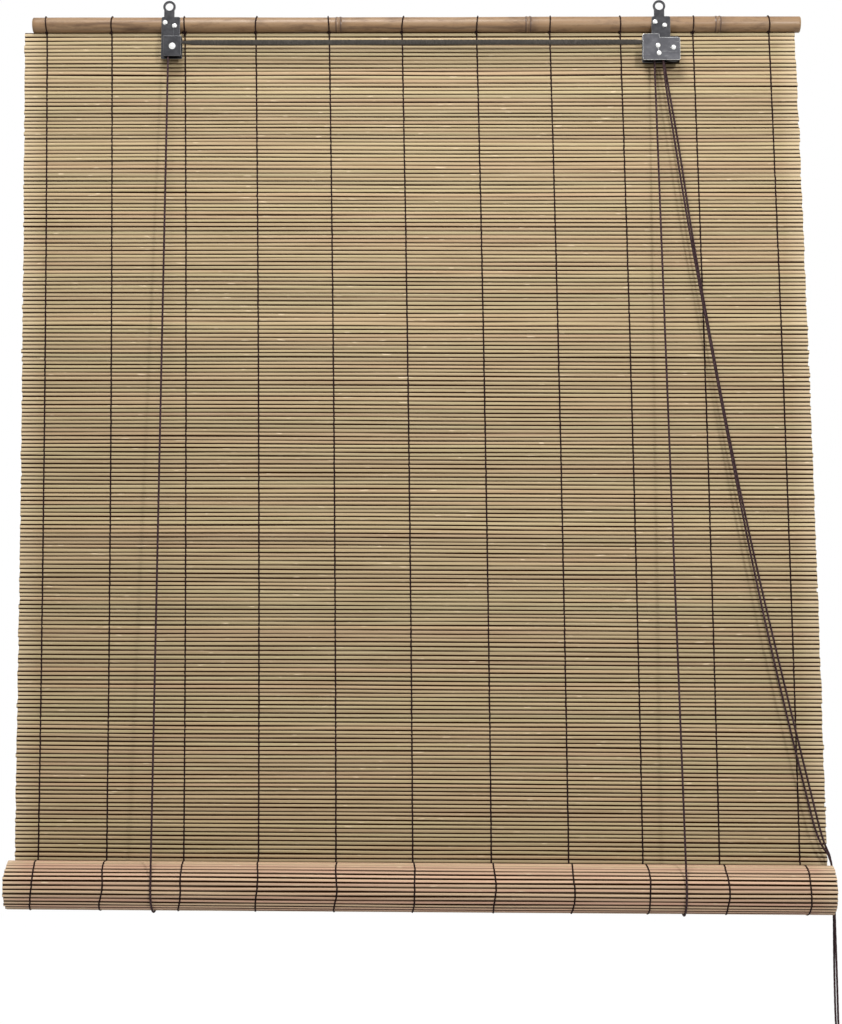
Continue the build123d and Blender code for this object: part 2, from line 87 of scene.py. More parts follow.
@dataclass(frozen=True)
class Layout:
    """Places that the sub-assemblies share, in metres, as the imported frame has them."""

    pole_y: float = 0.011
    pole_z: float = -0.0205
    pole_left: float = -0.496
    pole_length: float = 0.996
    pole_radius: float = 0.01025
    mat_left: float = -0.507
    mat_width: float = 1.0
    mat_top: float = -0.03175
    mat_lean: float = 0.020
    mat_bow: float = 0.002
    mat_half: float = 0.0015
    reed_pitch: float = 0.0051
    hanging_reeds: int = 213
    wound_reeds: int = 136
    turn_pitch: float = 0.0033
    inner_turn_radius: float = 0.0118
    lift_travel: float = 0.95
    thread_shares: tuple[float, ...] = (
        0.0294, 0.1141, 0.2095, 0.3018, 0.3973, 0.4919, 0.5887, 0.6835, 0.7746, 0.8685, 0.9667,
    )

    @property
    def hang_length(self) -> float:
        """Height of the hanging part of the mat."""
        return self.hanging_reeds * self.reed_pitch

    @property
    def roll_z(self) -> float:
        """Height of the roll's axis."""
        return self.mat_top - self.hang_length

    @property
    def outer_turn_radius(self) -> float:
        """Radius of the outermost turn at mid thickness."""
        wound = self.wound_reeds * self.reed_pitch
        return sqrt(self.inner_turn_radius**2 + wound * self.turn_pitch / pi)

    @property
    def roll_y(self) -> float:
        """Depth of the roll's axis."""
        return self.pole_y - self.outer_turn_radius

    def leaned(self, z: np.ndarray | float) -> np.ndarray | float:
        """How far the mat has drifted sideways at a height."""
        share = (self.mat_top - z) / self.hang_length
        return self.mat_lean * share + 4 * self.mat_bow * share * (1 - share)

    def thread_x(self, number: int) -> float:
        """Where a thread crosses the top of the mat, counted from the left."""
        return self.mat_left + self.thread_shares[number] * self.mat_width


PLACES = Layout()


# Shapes


def placed(name: str, data: bpy.types.ID) -> bpy.types.Object:
    """Make an object and put it in the scene.

    Args:
        name: Name of the object.
        data: Its mesh, lamp or lens.

    Returns:
        The new object.
    """
    made = bpy.data.objects.new(name, data)
    bpy.context.scene.collection.objects.link(made)
    return made


@dataclass
class Skin:
    """Closed tubes of any section, collected into one mesh.

    Each tube is an array of rings of points, shaped (rings, sides, 3). A mark is a number kept at
    every point, which a finish can read.
    """

    name: str
    tubes: list[np.ndarray] = field(default_factory=list)
    marks: dict[str, list[np.ndarray]] = field(default_factory=dict)

    def add(self, rings: np.ndarray, **marks: np.ndarray | float) -> None:
        """Collect one tube.

        Args:
            rings: The tube's rings of points.
            marks: A number for the tube, for each ring or for each point, by name.
        """
        self.tubes.append(rings)
        for name, values in marks.items():
            shaped = np.broadcast_to(np.asarray(values, float), rings.shape[:2])
            self.marks.setdefault(name, []).append(shaped)

    def build(self, material: bpy.types.Material, sharp_degrees: float = 55) -> bpy.types.Object:
        """Make the mesh and its object.

        Args:
            material: The finish of the whole piece.
            sharp_degrees: Edges that fold by more than this stay sharp.

        Returns:
            The new object, at rest in the frame.
        """
        faces: list[list[int]] = []
        start = 0
        for rings in self.tubes:
            count, sides, _ = rings.shape
            near = start + np.arange(count * sides).reshape(count, sides)
            far = np.roll(near, -1, axis=1)
            quads = np.stack([near[:-1], far[:-1], far[1:], near[1:]], axis=-1)
            faces += quads.reshape(-1, 4).tolist()
            faces += [near[0][::-1].tolist(), near[-1].tolist()]
            start += count * sides
        points = np.concatenate([rings.reshape(-1, 3) for rings in self.tubes])
        mesh = bpy.data.meshes.new(self.name)
        mesh.from_pydata(points.tolist(), [], faces)
        shape = bmesh.new()
        shape.from_mesh(mesh)
        bmesh.ops.recalc_face_normals(shape, faces=shape.faces)
        shape.to_mesh(mesh)
        shape.free()
        for name, values in self.marks.items():
            attribute = mesh.attributes.new(name, "FLOAT", "POINT")
            flat = np.concatenate([value.reshape(-1) for value in values])
            attribute.data.foreach_set("value", flat.astype(np.float32))
        mesh.shade_smooth()
        mesh.set_sharp_from_angle(angle=radians(sharp_degrees))
        mesh.materials.append(material)
        return placed(self.name, mesh)


def swept(line: np.ndarray, offsets: np.ndarray) -> np.ndarray:
    """Carry a section along a line without twisting it.

    Args:
        line: Points of the line, shaped (rings, 3).
        offsets: Places across the line, shaped (sides, 2) or (rings, sides, 2).

    Returns:
        Rings of points, shaped (rings, sides, 3).
    """
    ahead = np.gradient(line, axis=0)
    ahead /= np.linalg.norm(ahead, axis=1, keepdims=True)
    helper = np.array([1.0, 0, 0]) if abs(ahead[0][0]) < 0.8 else np.array([0, 0, 1.0])
    across = np.empty_like(ahead)
    for index, direction in enumerate(ahead):
        helper = helper - direction * (helper @ direction)
        helper = helper / np.linalg.norm(helper)
        across[index] = helper
    beside = np.cross(ahead, across)
    offsets = np.broadcast_to(offsets, (len(line), *offsets.shape[-2:]))
    spread = across[:, None] * offsets[..., :1] + beside[:, None] * offsets[..., 1:]
    return line[:, None] + spread


def round_section(radius: float, sides: int, flatness: float = 1.0) -> np.ndarray:
    """Points of a round or oval section.

    Args:
        radius: Half the width.
        sides: Number of points.
        flatness: Depth as a share of the width.

    Returns:
        Places across the line, shaped (sides, 2).
    """
    turn = np.arange(sides) * 2 * pi / sides
    return np.stack([radius * np.cos(turn), flatness * radius * np.sin(turn)], axis=1)


def spaced(line: np.ndarray, step: float) -> np.ndarray:
    """Points at one spacing along a dense line.

    Args:
        line: Points of the line.
        step: Distance between the new points.

    Returns:
        The new points, with both ends kept.
    """
    runs = np.linalg.norm(np.diff(line, axis=0), axis=1)
    along = np.concatenate([[0], np.cumsum(runs)])
    stops = np.linspace(0, along[-1], max(2, int(round(along[-1] / step)) + 1))
    return np.stack([np.interp(stops, along, line[:, axis]) for axis in range(3)], axis=1)


def overhand_knot(
    middle: Point, size: float, gap: float = 0.15, count: int = 40, depth: float = 1.1
) -> np.ndarray:
    """The line of a small pulled knot.

    Args:
        middle: Where the knot sits.
        size: Half its width.
        gap: Angle left open at each end.
        count: Number of points.
        depth: Stretch from front to back.

    Returns:
        Points of a line that crosses itself as a knot does.
    """
    turn = np.linspace(gap, 2 * pi - gap, count)
    knot = np.stack(
        [
            np.sin(turn) + 2 * np.sin(2 * turn),
            -np.sin(3 * turn) * depth,
            np.cos(turn) - 2 * np.cos(2 * turn),
        ],
        axis=1,
    )
    return np.asarray(middle) + knot * size / 3


@dataclass(frozen=True)
class LaidCord:
    """A cord of three strands laid together."""

    diameter: float = 0.0025
    lay: float = 0.010
    strands: int = 3
    strand_depth: float = 0.13
    sides: int = 12
    spacing: float = 0.00125
    knot_share: float = 0.42
    knot_sides: int = 8

    def rings(self, line: np.ndarray) -> np.ndarray:
        """Rings of the cord along a line.

        Args:
            line: Dense points of the cord's middle.

        Returns:
            Rings of points for a skin.
        """
        line = spaced(line, self.spacing)
        along = np.arange(len(line)) * self.spacing
        turn = np.arange(self.sides) * 2 * pi / self.sides
        twist = 2 * pi * along[:, None] / self.lay / self.strands
        wave = np.cos(self.strands * (turn[None] - twist))
        radius = self.diameter / 2 * (1 + self.strand_depth * wave / 2)
        offsets = np.stack([radius * np.cos(turn), radius * np.sin(turn)], axis=2)
        return swept(line, offsets)

    def knot(self, middle: Point, size: float) -> np.ndarray:
        """Rings of a knot that ends the cord.

        Args:
            middle: Where the knot sits.
            size: Half its width.

        Returns:
            Rings of points for a skin.
        """
        section = round_section(self.diameter * self.knot_share, self.knot_sides)
        return swept(overhand_knot(middle, size), section)


def settled(piece: bpy.types.Object, body: Body, slot: str, *nodes: str) -> bpy.types.Object:
    """Fix a finished piece to its body and hide the CAD nodes that it replaces.

    Args:
        piece: The piece, in place.
        body: The body that it moves with.
        slot: The record's material slot; not used.
        nodes: CAD nodes that it replaces.

    Returns:
        The same piece.
    """
    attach(piece, body.value)
    if nodes:
        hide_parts(*nodes)
    LOG.info("%s rides on %s", piece.name, body.value)
    return piece


def cord_piece(
    name: str, rings: np.ndarray, material: bpy.types.Material, body: Body, *nodes: str
) -> bpy.types.Object:
    """One length of brown cord.

    Args:
        name: Name of the piece.
        rings: Rings of the cord.
        material: Its finish.
        body: The body that it moves with.
        nodes: CAD nodes that it replaces.

    Returns:
        The cord.
    """
    skin = Skin(name)
    skin.add(rings)
    return settled(skin.build(material), body, "brown_cord", *nodes)


def closing(piece: bpy.types.Object) -> bpy.types.Object:
    """Give a hanging piece a mesh of its own.

    Args:
        piece: The piece, at rest.

    Returns:
        The same piece.
    """
    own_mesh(piece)
    return piece


# Finishes


class Nodes:
    """A node tree to add nodes to."""

    def __init__(self, tree: bpy.types.NodeTree) -> None:
        """Take the tree."""
        self.tree = tree

    def node(
        self, kind: str, inputs: dict[str | int, object], **settings: object
    ) -> bpy.types.Node:
        """Add a node.

        Args:
            kind: Its type.
            inputs: A socket to link or a value to set, by the input's name or number.
            settings: The node's own options.

        Returns:
            The new node.
        """
        made = self.tree.nodes.new(kind)
        for name, value in settings.items():
            setattr(made, name, value)
        for name, value in inputs.items():
            if isinstance(value, bpy.types.NodeSocket):
                self.tree.links.new(value, made.inputs[name])
            else:
                made.inputs[name].default_value = value
        return made

    def figured(self, operation: str, first: object, second: object) -> bpy.types.NodeSocket:
        """Work out a number from two others.

        Args:
            operation: What to do with them, as the math node names it.
            first: A socket or a number.
            second: A socket or a number.

        Returns:
            The result.
        """
        made = self.node("ShaderNodeMath", {0: first, 1: second}, operation=operation)
        return made.outputs["Value"]


class Graph(Nodes):
    """The nodes of one material."""

    def __init__(
        self, name: str, roughness: float, metallic: float = 0.0, specular: float = 0.4
    ) -> None:
        """Start a material with its plain values on the shader.

        Args:
            name: Name of the material.
            roughness: How dull it is.
            metallic: 1 for bare metal.
            specular: Strength of its gloss.
        """
        self.material = bpy.data.materials.new(name)
        self.material.use_nodes = True
        super().__init__(self.material.node_tree)
        self.shader = self.tree.nodes["Principled BSDF"]
        self.shader.inputs["Roughness"].default_value = roughness
        self.shader.inputs["Metallic"].default_value = metallic
        self.shader.inputs["Specular IOR Level"].default_value = specular

    def mark(self, name: str) -> bpy.types.NodeSocket:
        """A number kept at the mesh's points."""
        return self.node("ShaderNodeAttribute", {}, attribute_name=name).outputs["Fac"]

    def noise(self, scale: Point, detail: float = 3.0, rough: float = 0.55) -> bpy.types.NodeSocket:
        """Noise that can be drawn out along an axis.

        Args:
            scale: Waves per metre along each axis.
            detail: Number of finer layers.
            rough: Strength of the finer layers.

        Returns:
            The noise, around one half.
        """
        place = self.node("ShaderNodeTexCoord", {}).outputs["Object"]
        drawn = self.node("ShaderNodeMapping", {"Vector": place, "Scale": scale}).outputs["Vector"]
        inputs = {"Vector": drawn, "Scale": 1.0, "Detail": detail, "Roughness": rough}
        return self.node("ShaderNodeTexNoise", inputs).outputs["Fac"]

    def span(
        self, value: bpy.types.NodeSocket, start: float, end: float, low: float, high: float
    ) -> bpy.types.NodeSocket:
        """Map a range of a number onto another, and hold it at the ends.

        Args:
            value: The number.
            start: Where its range starts.
            end: Where its range ends.
            low: What the start becomes.
            high: What the end becomes.

        Returns:
            The mapped number.
        """
        inputs = {"Value": value, "From Min": start, "From Max": end, "To Min": low, "To Max": high}
        return self.node("ShaderNodeMapRange", inputs).outputs["Result"]

    def mix(
        self, share: object, first: object, second: object, way: str = "MIX"
    ) -> bpy.types.NodeSocket:
        """Mix two colours.

        Args:
            share: How much of the second colour.
            first: The colour below.
            second: The colour on top.
            way: Blend mode.

        Returns:
            The mixed colour.
        """
        inputs = {"Fac": share, "Color1": first, "Color2": second}
        return self.node("ShaderNodeMixRGB", inputs, blend_type=way).outputs["Color"]

    def colour(self, socket: bpy.types.NodeSocket) -> None:
        """Set the colour of the surface."""
        self.tree.links.new(socket, self.shader.inputs["Base Color"])

    def dullness(self, socket: bpy.types.NodeSocket) -> None:
        """Vary the roughness of the surface."""
        self.tree.links.new(socket, self.shader.inputs["Roughness"])

    def gloss(self, socket: bpy.types.NodeSocket) -> None:
        """Vary the strength of the surface's gloss."""
        self.tree.links.new(socket, self.shader.inputs["Specular IOR Level"])

    def relief(self, height: bpy.types.NodeSocket, depth: float, strength: float = 0.5) -> None:
        """Raise the surface by a number.

        Args:
            height: The relief.
            depth: Its depth in metres.
            strength: Its share.
        """
        inputs = {"Height": height, "Distance": depth, "Strength": strength}
        made = self.node("ShaderNodeBump", inputs)
        self.tree.links.new(made.outputs["Normal"], self.shader.inputs["Normal"])


@dataclass(frozen=True)
class ReedFinish:
    """Split reed: one skin in front, another behind, and painted shade where two reeds meet."""

    front: Colour = paint(172, 150, 111)
    back: Colour = paint(200, 164, 134)
    # Colour of the painted shade where two reeds meet.
    crevice: Colour = paint(48, 27, 13)
    stain: Colour = paint(146, 122, 92)
    pale: Colour = paint(226, 204, 168)

    def material(self) -> bpy.types.Material:
        """Build the material.

        Returns:
            A material that reads the marks side, tone, warmth, tip, and the mark of painted shade
            where two reeds meet.
        """
        graph = Graph("dry_reed", roughness=0.58)
        grain = graph.noise((14.0, 500.0, 1400.0), detail=4)
        cloud = graph.noise((5.0, 90.0, 120.0), detail=2)
        skin = graph.mix(graph.mark("side"), self.back, self.front)
        drift = graph.span(graph.noise((3.5, 60.0, 150.0), detail=2), 0.3, 0.7, -0.45, 0.45)
        warmth = graph.figured("ADD", graph.mark("warmth"), drift)
        toned = graph.node(
            "ShaderNodeHueSaturation",
            {
                "Color": skin,
                "Hue": graph.span(warmth, 0, 1, 0.512, 0.484),
                "Saturation": graph.span(warmth, 0, 1, 0.95, 1.02),
                "Value": graph.span(graph.mark("tone"), 0, 1, 0.82, 1.12),
            },
        ).outputs["Color"]
        nick = graph.noise((45.0, 300.0, 380.0), detail=1)
        streaked = graph.mix(graph.span(grain, 0.35, 0.75, 0.0, 0.36), toned, self.pale)
        stained = graph.mix(graph.span(cloud, 0.55, 0.8, 0.0, 0.45), streaked, self.stain)
        nicked = graph.mix(graph.span(nick, 0.70, 0.76, 0.0, 0.75), stained, self.pale)
        tipped = graph.mix(graph.mark("tip"), nicked, self.pale)
        # Painted shade where two reeds meet: darker colour and less gloss, growing with the mark.
        shaded = graph.figured("POWER", graph.mark("crevice"), 0.55)
        graph.colour(graph.mix(shaded, tipped, self.crevice))
        graph.gloss(graph.span(shaded, 0, 1, 0.3, 0.02))
        graph.relief(grain, depth=0.0003, strength=0.35)
        return graph.material


@dataclass(frozen=True)
class CaneFinish:
    """Bamboo skin: streaks along the cane, dark mottles, marked joints and pale cut ends."""

    skin: Colour = paint(140, 108, 75)
    light: Colour = paint(152, 126, 97)
    mottle: Colour = paint(78, 52, 34)
    joint: Colour = paint(62, 42, 38)
    cut: Colour = paint(222, 196, 156)

    def material(self) -> bpy.types.Material:
        """Build the material.

        Returns:
            A material that reads the marks joint, scar and cut.
        """
        graph = Graph("bamboo_cane", roughness=0.42, specular=0.45)
        streak = graph.noise((7.0, 260.0, 260.0), detail=5)
        blotch = graph.noise((26.0, 70.0, 110.0), detail=5, rough=0.65)
        fine = graph.noise((220.0, 420.0, 420.0), detail=2)
        streaked = graph.mix(graph.span(streak, 0.35, 0.7, 0.0, 0.75), self.skin, self.light)
        mottled = graph.mix(graph.span(blotch, 0.5, 0.72, 0.0, 0.7), streaked, self.mottle)
        specked = graph.mix(graph.span(fine, 0.6, 0.8, 0.0, 0.3), mottled, self.mottle)
        scarred = graph.mix(graph.mark("scar"), specked, self.mottle)
        jointed = graph.mix(graph.mark("joint"), scarred, self.joint)
        graph.colour(graph.mix(graph.mark("cut"), jointed, self.cut))
        graph.dullness(graph.span(blotch, 0.3, 0.75, 0.34, 0.55))
        graph.relief(streak, depth=0.0004, strength=0.3)
        return graph.material


@dataclass(frozen=True)
class YarnFinish:
    """Dyed yarn or cord, lighter on the crowns of its fibres."""

    name: str
    dark: Colour
    light: Colour

    def material(self) -> bpy.types.Material:
        """Build the material."""
        graph = Graph(self.name, roughness=0.82, specular=0.12)
        fibre = graph.noise((900.0, 900.0, 260.0), detail=3)
        wear = graph.noise((30.0, 30.0, 12.0), detail=2)
        crowns = graph.span(fibre, 0.35, 0.7, 0.0, 1.0)
        share = graph.figured("MULTIPLY", crowns, graph.span(wear, 0.3, 0.7, 0.35, 1.0))
        graph.colour(graph.mix(share, self.dark, self.light))
        graph.relief(fibre, depth=0.0002, strength=0.6)
        return graph.material


@dataclass(frozen=True)
class MetalFinish:
    """Sheet or wire metal with handling marks, and bare where its edges are eased."""

    name: str
    base: Colour
    worn: Colour
    bare: Colour
    smooth: float
    rough: float

    def material(self) -> bpy.types.Material:
        """Build the material.

        Returns:
            A material that reads the mark bare where a mesh has it.
        """
        graph = Graph(self.name, roughness=self.rough, metallic=1.0)
        cloud = graph.noise((140.0, 140.0, 140.0), detail=4, rough=0.6)
        scratch = graph.noise((60.0, 60.0, 1500.0), detail=2)
        worn = graph.mix(graph.span(cloud, 0.42, 0.75, 0.0, 0.8), self.base, self.worn)
        marked = graph.mix(graph.span(scratch, 0.66, 0.8, 0.0, 0.4), worn, self.bare)
        graph.colour(graph.mix(graph.mark("bare"), marked, self.bare))
        graph.dullness(graph.span(cloud, 0.3, 0.75, self.smooth, self.rough))
        graph.relief(cloud, depth=0.0001, strength=0.25)
        return graph.material


@dataclass(frozen=True)
class MouldedFinish:
    """Moulded black nylon with dusty, duller patches."""

    dark: Colour = paint(34, 34, 35)
    dusty: Colour = paint(66, 64, 62)

    def material(self) -> bpy.types.Material:
        """Build the material."""
        graph = Graph("moulded_nylon", roughness=0.5)
        dust = graph.noise((300.0, 300.0, 300.0), detail=4)
        graph.colour(graph.mix(graph.span(dust, 0.45, 0.75, 0.0, 0.8), self.dark, self.dusty))
        graph.dullness(graph.span(dust, 0.3, 0.7, 0.4, 0.65))
        graph.relief(dust, depth=0.0001, strength=0.3)
        return graph.material


class Finishes:
    """The materials of the blind, one for each of the record's slots."""

    def __init__(self) -> None:
        """Build every material once."""
        self.reed = ReedFinish().material()
        self.cane = CaneFinish().material()
        self.stitching = YarnFinish(
            "stitching_thread", paint(26, 14, 14), paint(54, 34, 31)
        ).material()
        self.brown_cord = YarnFinish("brown_cord", paint(44, 29, 31), paint(88, 68, 71)).material()
        self.grey_cord = YarnFinish("grey_cord", paint(54, 51, 47), paint(80, 75, 70)).material()
        self.dark_steel = MetalFinish(
            "dark_steel", paint(47, 47, 49), paint(64, 64, 66), paint(108, 108, 109), 0.36, 0.55
        ).material()
        self.plated_steel = MetalFinish(
            "plated_steel", paint(64, 64, 67), paint(82, 82, 85), paint(206, 206, 204), 0.36, 0.52
        ).material()
        self.bright_steel = MetalFinish(
            "bright_steel",
            paint(240, 240, 238),
            paint(218, 218, 216),
            paint(250, 250, 250),
            0.16,
            0.3,
        ).material()
        self.black_iron = MetalFinish(
            "black_iron", paint(44, 43, 42), paint(66, 64, 62), paint(120, 118, 114), 0.45, 0.7
        ).material()
        self.nylon = MouldedFinish().material()


def dressed(node: str, material: bpy.types.Material) -> None:
    """Give a CAD node that stays in view its finish.

    Args:
        node: Name of the node.
        material: Its finish.
    """
    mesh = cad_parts[node].data
    mesh.materials.clear()
    mesh.materials.append(material)
    LOG.info("%s keeps its solid", node)


# Sub-assemblies


@dataclass
class HeadPole:
    """The bamboo cane that everything hangs from.

    A wave has its height, rate and phase, a joint mark its shift, width and strength, and a scuff
    its place along the cane, angle round it, length, width and strength.
    """

    finishes: Finishes
    sides: int = 40
    spacing: float = 0.004
    waves: tuple[tuple[float, ...], ...] = ((0.00018, 9.1, 0.7), (0.0001, 31.0, 0.0))
    ovalness: float = 0.006
    oval_twist: float = 3.0
    joint_shares: tuple[float, ...] = (0.4, 0.647, 0.893)
    joint_height: float = 0.0009
    joint_spread: float = 0.0014
    joint_split: float = 0.0022
    joint_ridges: tuple[tuple[int, float], ...] = ((-1, 0.75), (1, 1.0))
    joint_reach: float = 0.007
    joint_points: int = 29
    # Two narrow dark rings on each joint, and a broad faint darkening beside it that is painted
    # shade.
    joint_and_shade_marks: tuple[tuple[float, ...], ...] = (
        (-0.0030, 0.0010, 0.9), (0.0031, 0.0012, 0.95), (0.004, 0.008, 0.35),
    )
    scuffs: tuple[tuple[float, ...], ...] = (
        (-0.40, 3.35, 0.055, 0.16, 0.8),
        (-0.37, 3.9, 0.045, 0.14, 0.7),
        (-0.345, 2.95, 0.03, 0.10, 0.6),
        (-0.02, 3.85, 0.07, 0.12, 0.75),
        (0.075, 3.8, 0.05, 0.13, 0.7),
        (0.12, 3.75, 0.03, 0.2, 0.7),
        (0.30, 3.9, 0.05, 0.1, 0.4),
    )
    scuff_sway: float = 0.1
    scuff_rate: float = 90
    cut_share: float = 0.9
    bore_radius: float = 0.0045
    bore_depth: float = 0.04
    end_chamfer: float = 0.0008
    right_swell: float = 0.0004

    def joint_places(self) -> list[float]:
        """Where the cane's joints are along it."""
        return [PLACES.pole_left + share * PLACES.pole_length for share in self.joint_shares]

    def radius(self, x: np.ndarray) -> np.ndarray:
        """The cane's radius along it.

        Args:
            x: Places along the cane.

        Returns:
            The radius at each place.
        """
        share = (x - PLACES.pole_left) / PLACES.pole_length
        radius = PLACES.pole_radius + self.right_swell * (share - 0.5)
        for height, rate, phase in self.waves:
            radius = radius + height * np.sin(rate * share + phase)
        for place in self.joint_places():
            for way, height in self.joint_ridges:
                shift = way * self.joint_split
                swell = np.exp(-(((x - place - shift) / self.joint_spread) ** 2))
                radius = radius + self.joint_height * height * swell
        return radius

    def build(self) -> bpy.types.Object:
        """Turn the cane with its joints and hollow ends, and dress it.

        Returns:
            The cane.
        """
        left = PLACES.pole_left
        right = left + PLACES.pole_length
        plain = np.arange(left + self.end_chamfer, right - self.end_chamfer, self.spacing)
        around = np.linspace(-self.joint_reach, self.joint_reach, self.joint_points)
        near = [place + around for place in self.joint_places()]
        x = np.unique(np.concatenate([plain, [right - self.end_chamfer], *near]))
        radius = self.radius(x)
        ends = radius[[0, -1]] - self.end_chamfer
        bore = self.bore_radius
        floors = left + self.bore_depth, right - self.bore_depth
        x = np.concatenate([[floors[0], left, left], x, [right, right, floors[1]]])
        radius = np.concatenate([[bore, bore, ends[0]], radius, [ends[1], bore, bore]])
        turn = np.arange(self.sides) * 2 * pi / self.sides
        oval = 1 + self.ovalness * np.cos(2 * turn[None] + self.oval_twist * x[:, None])
        across = radius[:, None] * oval
        rings = np.stack(
            [
                np.broadcast_to(x[:, None], across.shape),
                PLACES.pole_y + across * np.cos(turn),
                PLACES.pole_z + across * np.sin(turn),
            ],
            axis=2,
        )
        joint = np.zeros(len(x))
        for place in self.joint_places():
            for shift, width, depth in self.joint_and_shade_marks:
                joint = np.maximum(joint, depth * np.exp(-(((x - place - shift) / width) ** 2)))
        cut = np.zeros(len(x))
        cut[[0, 1, 2, -3, -2, -1]] = self.cut_share
        skin = Skin("bamboo_head_pole")
        skin.add(rings, joint=joint[:, None], cut=cut[:, None], scar=self.scars(x, turn))
        return settled(skin.build(self.finishes.cane), Body.HEAD, "bamboo", "head_pole")

    def scars(self, x: np.ndarray, turn: np.ndarray) -> np.ndarray:
        """Dark scuffs along the front of the cane, most of them near its left end.

        Args:
            x: Places of the rings along the cane.
            turn: Angles round the cane.

        Returns:
            The strength of the scuffs at each point.
        """
        strength = np.zeros((len(x), len(turn)))
        sway = self.scuff_sway * np.sin(self.scuff_rate * x[:, None])
        for place, angle, length, width, depth in self.scuffs:
            along = ((x[:, None] - place) / length) ** 2
            around = ((turn[None] - angle + sway) / width) ** 2
            strength = np.maximum(strength, depth * np.exp(-along - around))
        return strength


@dataclass
class Reeds:
    """How one reed looks across and along, with the small faults of a natural stem."""

    half_depth: float = PLACES.mat_half
    heights: tuple[float, ...] = (1.0, 0.74, 0.48, -0.48, -0.74, -1.0, -0.74, -0.48, 0.48, 0.74)
    depths: tuple[float, ...] = (0.0, -0.55, -0.97, -0.97, -0.55, 0.0, 0.55, 0.97, 0.97, 0.55)
    # Share of the painted shade that each point of the section takes, full at the reed's edges.
    shaded_edge: tuple[float, ...] = (1.0, 1.0, 0.0, 0.0, 1.0, 1.0, 1.0, 0.0, 0.0, 1.0)
    tilt: float = 0.00022
    wave: float = 0.0002
    wave_lengths: tuple[float, float] = (0.28, 0.8)
    sway: float = 0.00045
    sway_length: float = 0.83
    sway_rows: float = 71
    beat_rows: float = 9.7
    beat_phase: float = 1.3
    end_spread: float = 0.00045
    edge_spread: float = 0.5
    edge_wave: float = 0.32
    edge_lengths: tuple[float, float] = (0.15, 0.5)
    edge_limits: tuple[float, float] = (0.2, 2.0)
    tip_share: float = 0.5

    def stems(self, count: int, x: np.ndarray, seed: int) -> np.ndarray:
        """How far each reed strays from its row along its length.

        Args:
            count: Number of reeds.
            x: Places along a reed, in metres from its left end.
            seed: Start of the random draws.

        Returns:
            Offsets across the rows, shaped (count, places).
        """
        draw = np.random.default_rng(seed)
        share = x[None] / x[-1] - 0.5
        tilt = draw.normal(0, self.tilt, (count, 1)) * share
        length = draw.uniform(*self.wave_lengths, (count, 1))
        phase = draw.uniform(0, 2 * pi, (count, 1))
        wave = draw.normal(0, self.wave, (count, 1)) * np.sin(2 * pi * x[None] / length + phase)
        row = np.arange(count)[:, None]
        sway = self.sway * np.sin(2 * pi * (x[None] / self.sway_length + row / self.sway_rows))
        return tilt + wave + sway * np.sin(row / self.beat_rows + self.beat_phase)

    def crevice_shade_strength(
        self, count: int, x: np.ndarray, seed: int, first: float, last: float
    ) -> np.ndarray:
        """How strong the painted shade is in the joint above each reed, along its length.

        Args:
            count: Number of reeds.
            x: Places along a reed.
            seed: Start of the random draws.
            first: Mean strength at the first reed.
            last: Mean strength at the last reed.

        Returns:
            Strengths, dark all over from 1 up, shaped (count, places).
        """
        draw = np.random.default_rng(seed)
        level = draw.uniform(-self.edge_spread, self.edge_spread, (count, 1))
        level = level + np.linspace(first, last, count)[:, None]
        length = draw.uniform(*self.edge_lengths, (count, 1))
        phase = draw.uniform(0, 2 * pi, (count, 1))
        wave = self.edge_wave * np.sin(2 * pi * x[None] / length + phase)
        return np.clip(level + wave, *self.edge_limits)

    def along(self, left: float, strays: np.ndarray, x: np.ndarray) -> np.ndarray:
        """Places along one reed in the frame.

        Args:
            left: The mat's left edge.
            strays: How far the reed's left and right ends stray from the mat's edges.
            x: Places along a reed, in metres from its left end.

        Returns:
            The places as a column.
        """
        start = left + strays[0]
        end = left + PLACES.mat_width + strays[1]
        return (start + (end - start) * x / x[-1])[:, None]

    def lay(
        self, skin: Skin, rings: np.ndarray, edges: np.ndarray, tone: float, warmth: float
    ) -> None:
        """Add one reed to a mat, with the marks that its finish reads.

        Args:
            skin: The mat.
            rings: The reed's rings.
            edges: How strong the painted shade at its joints is at each point.
            tone: How light it is.
            warmth: How red it is.
        """
        front = (np.array(self.depths) < 0).astype(float)
        tip = np.zeros((len(rings), 1))
        tip[[0, -1]] = self.tip_share
        # Painted shade at each point where the reed meets its neighbours.
        crevice = edges * np.array(self.shaded_edge)
        skin.add(rings, side=front, tone=tone, warmth=warmth, crevice=crevice, tip=tip)


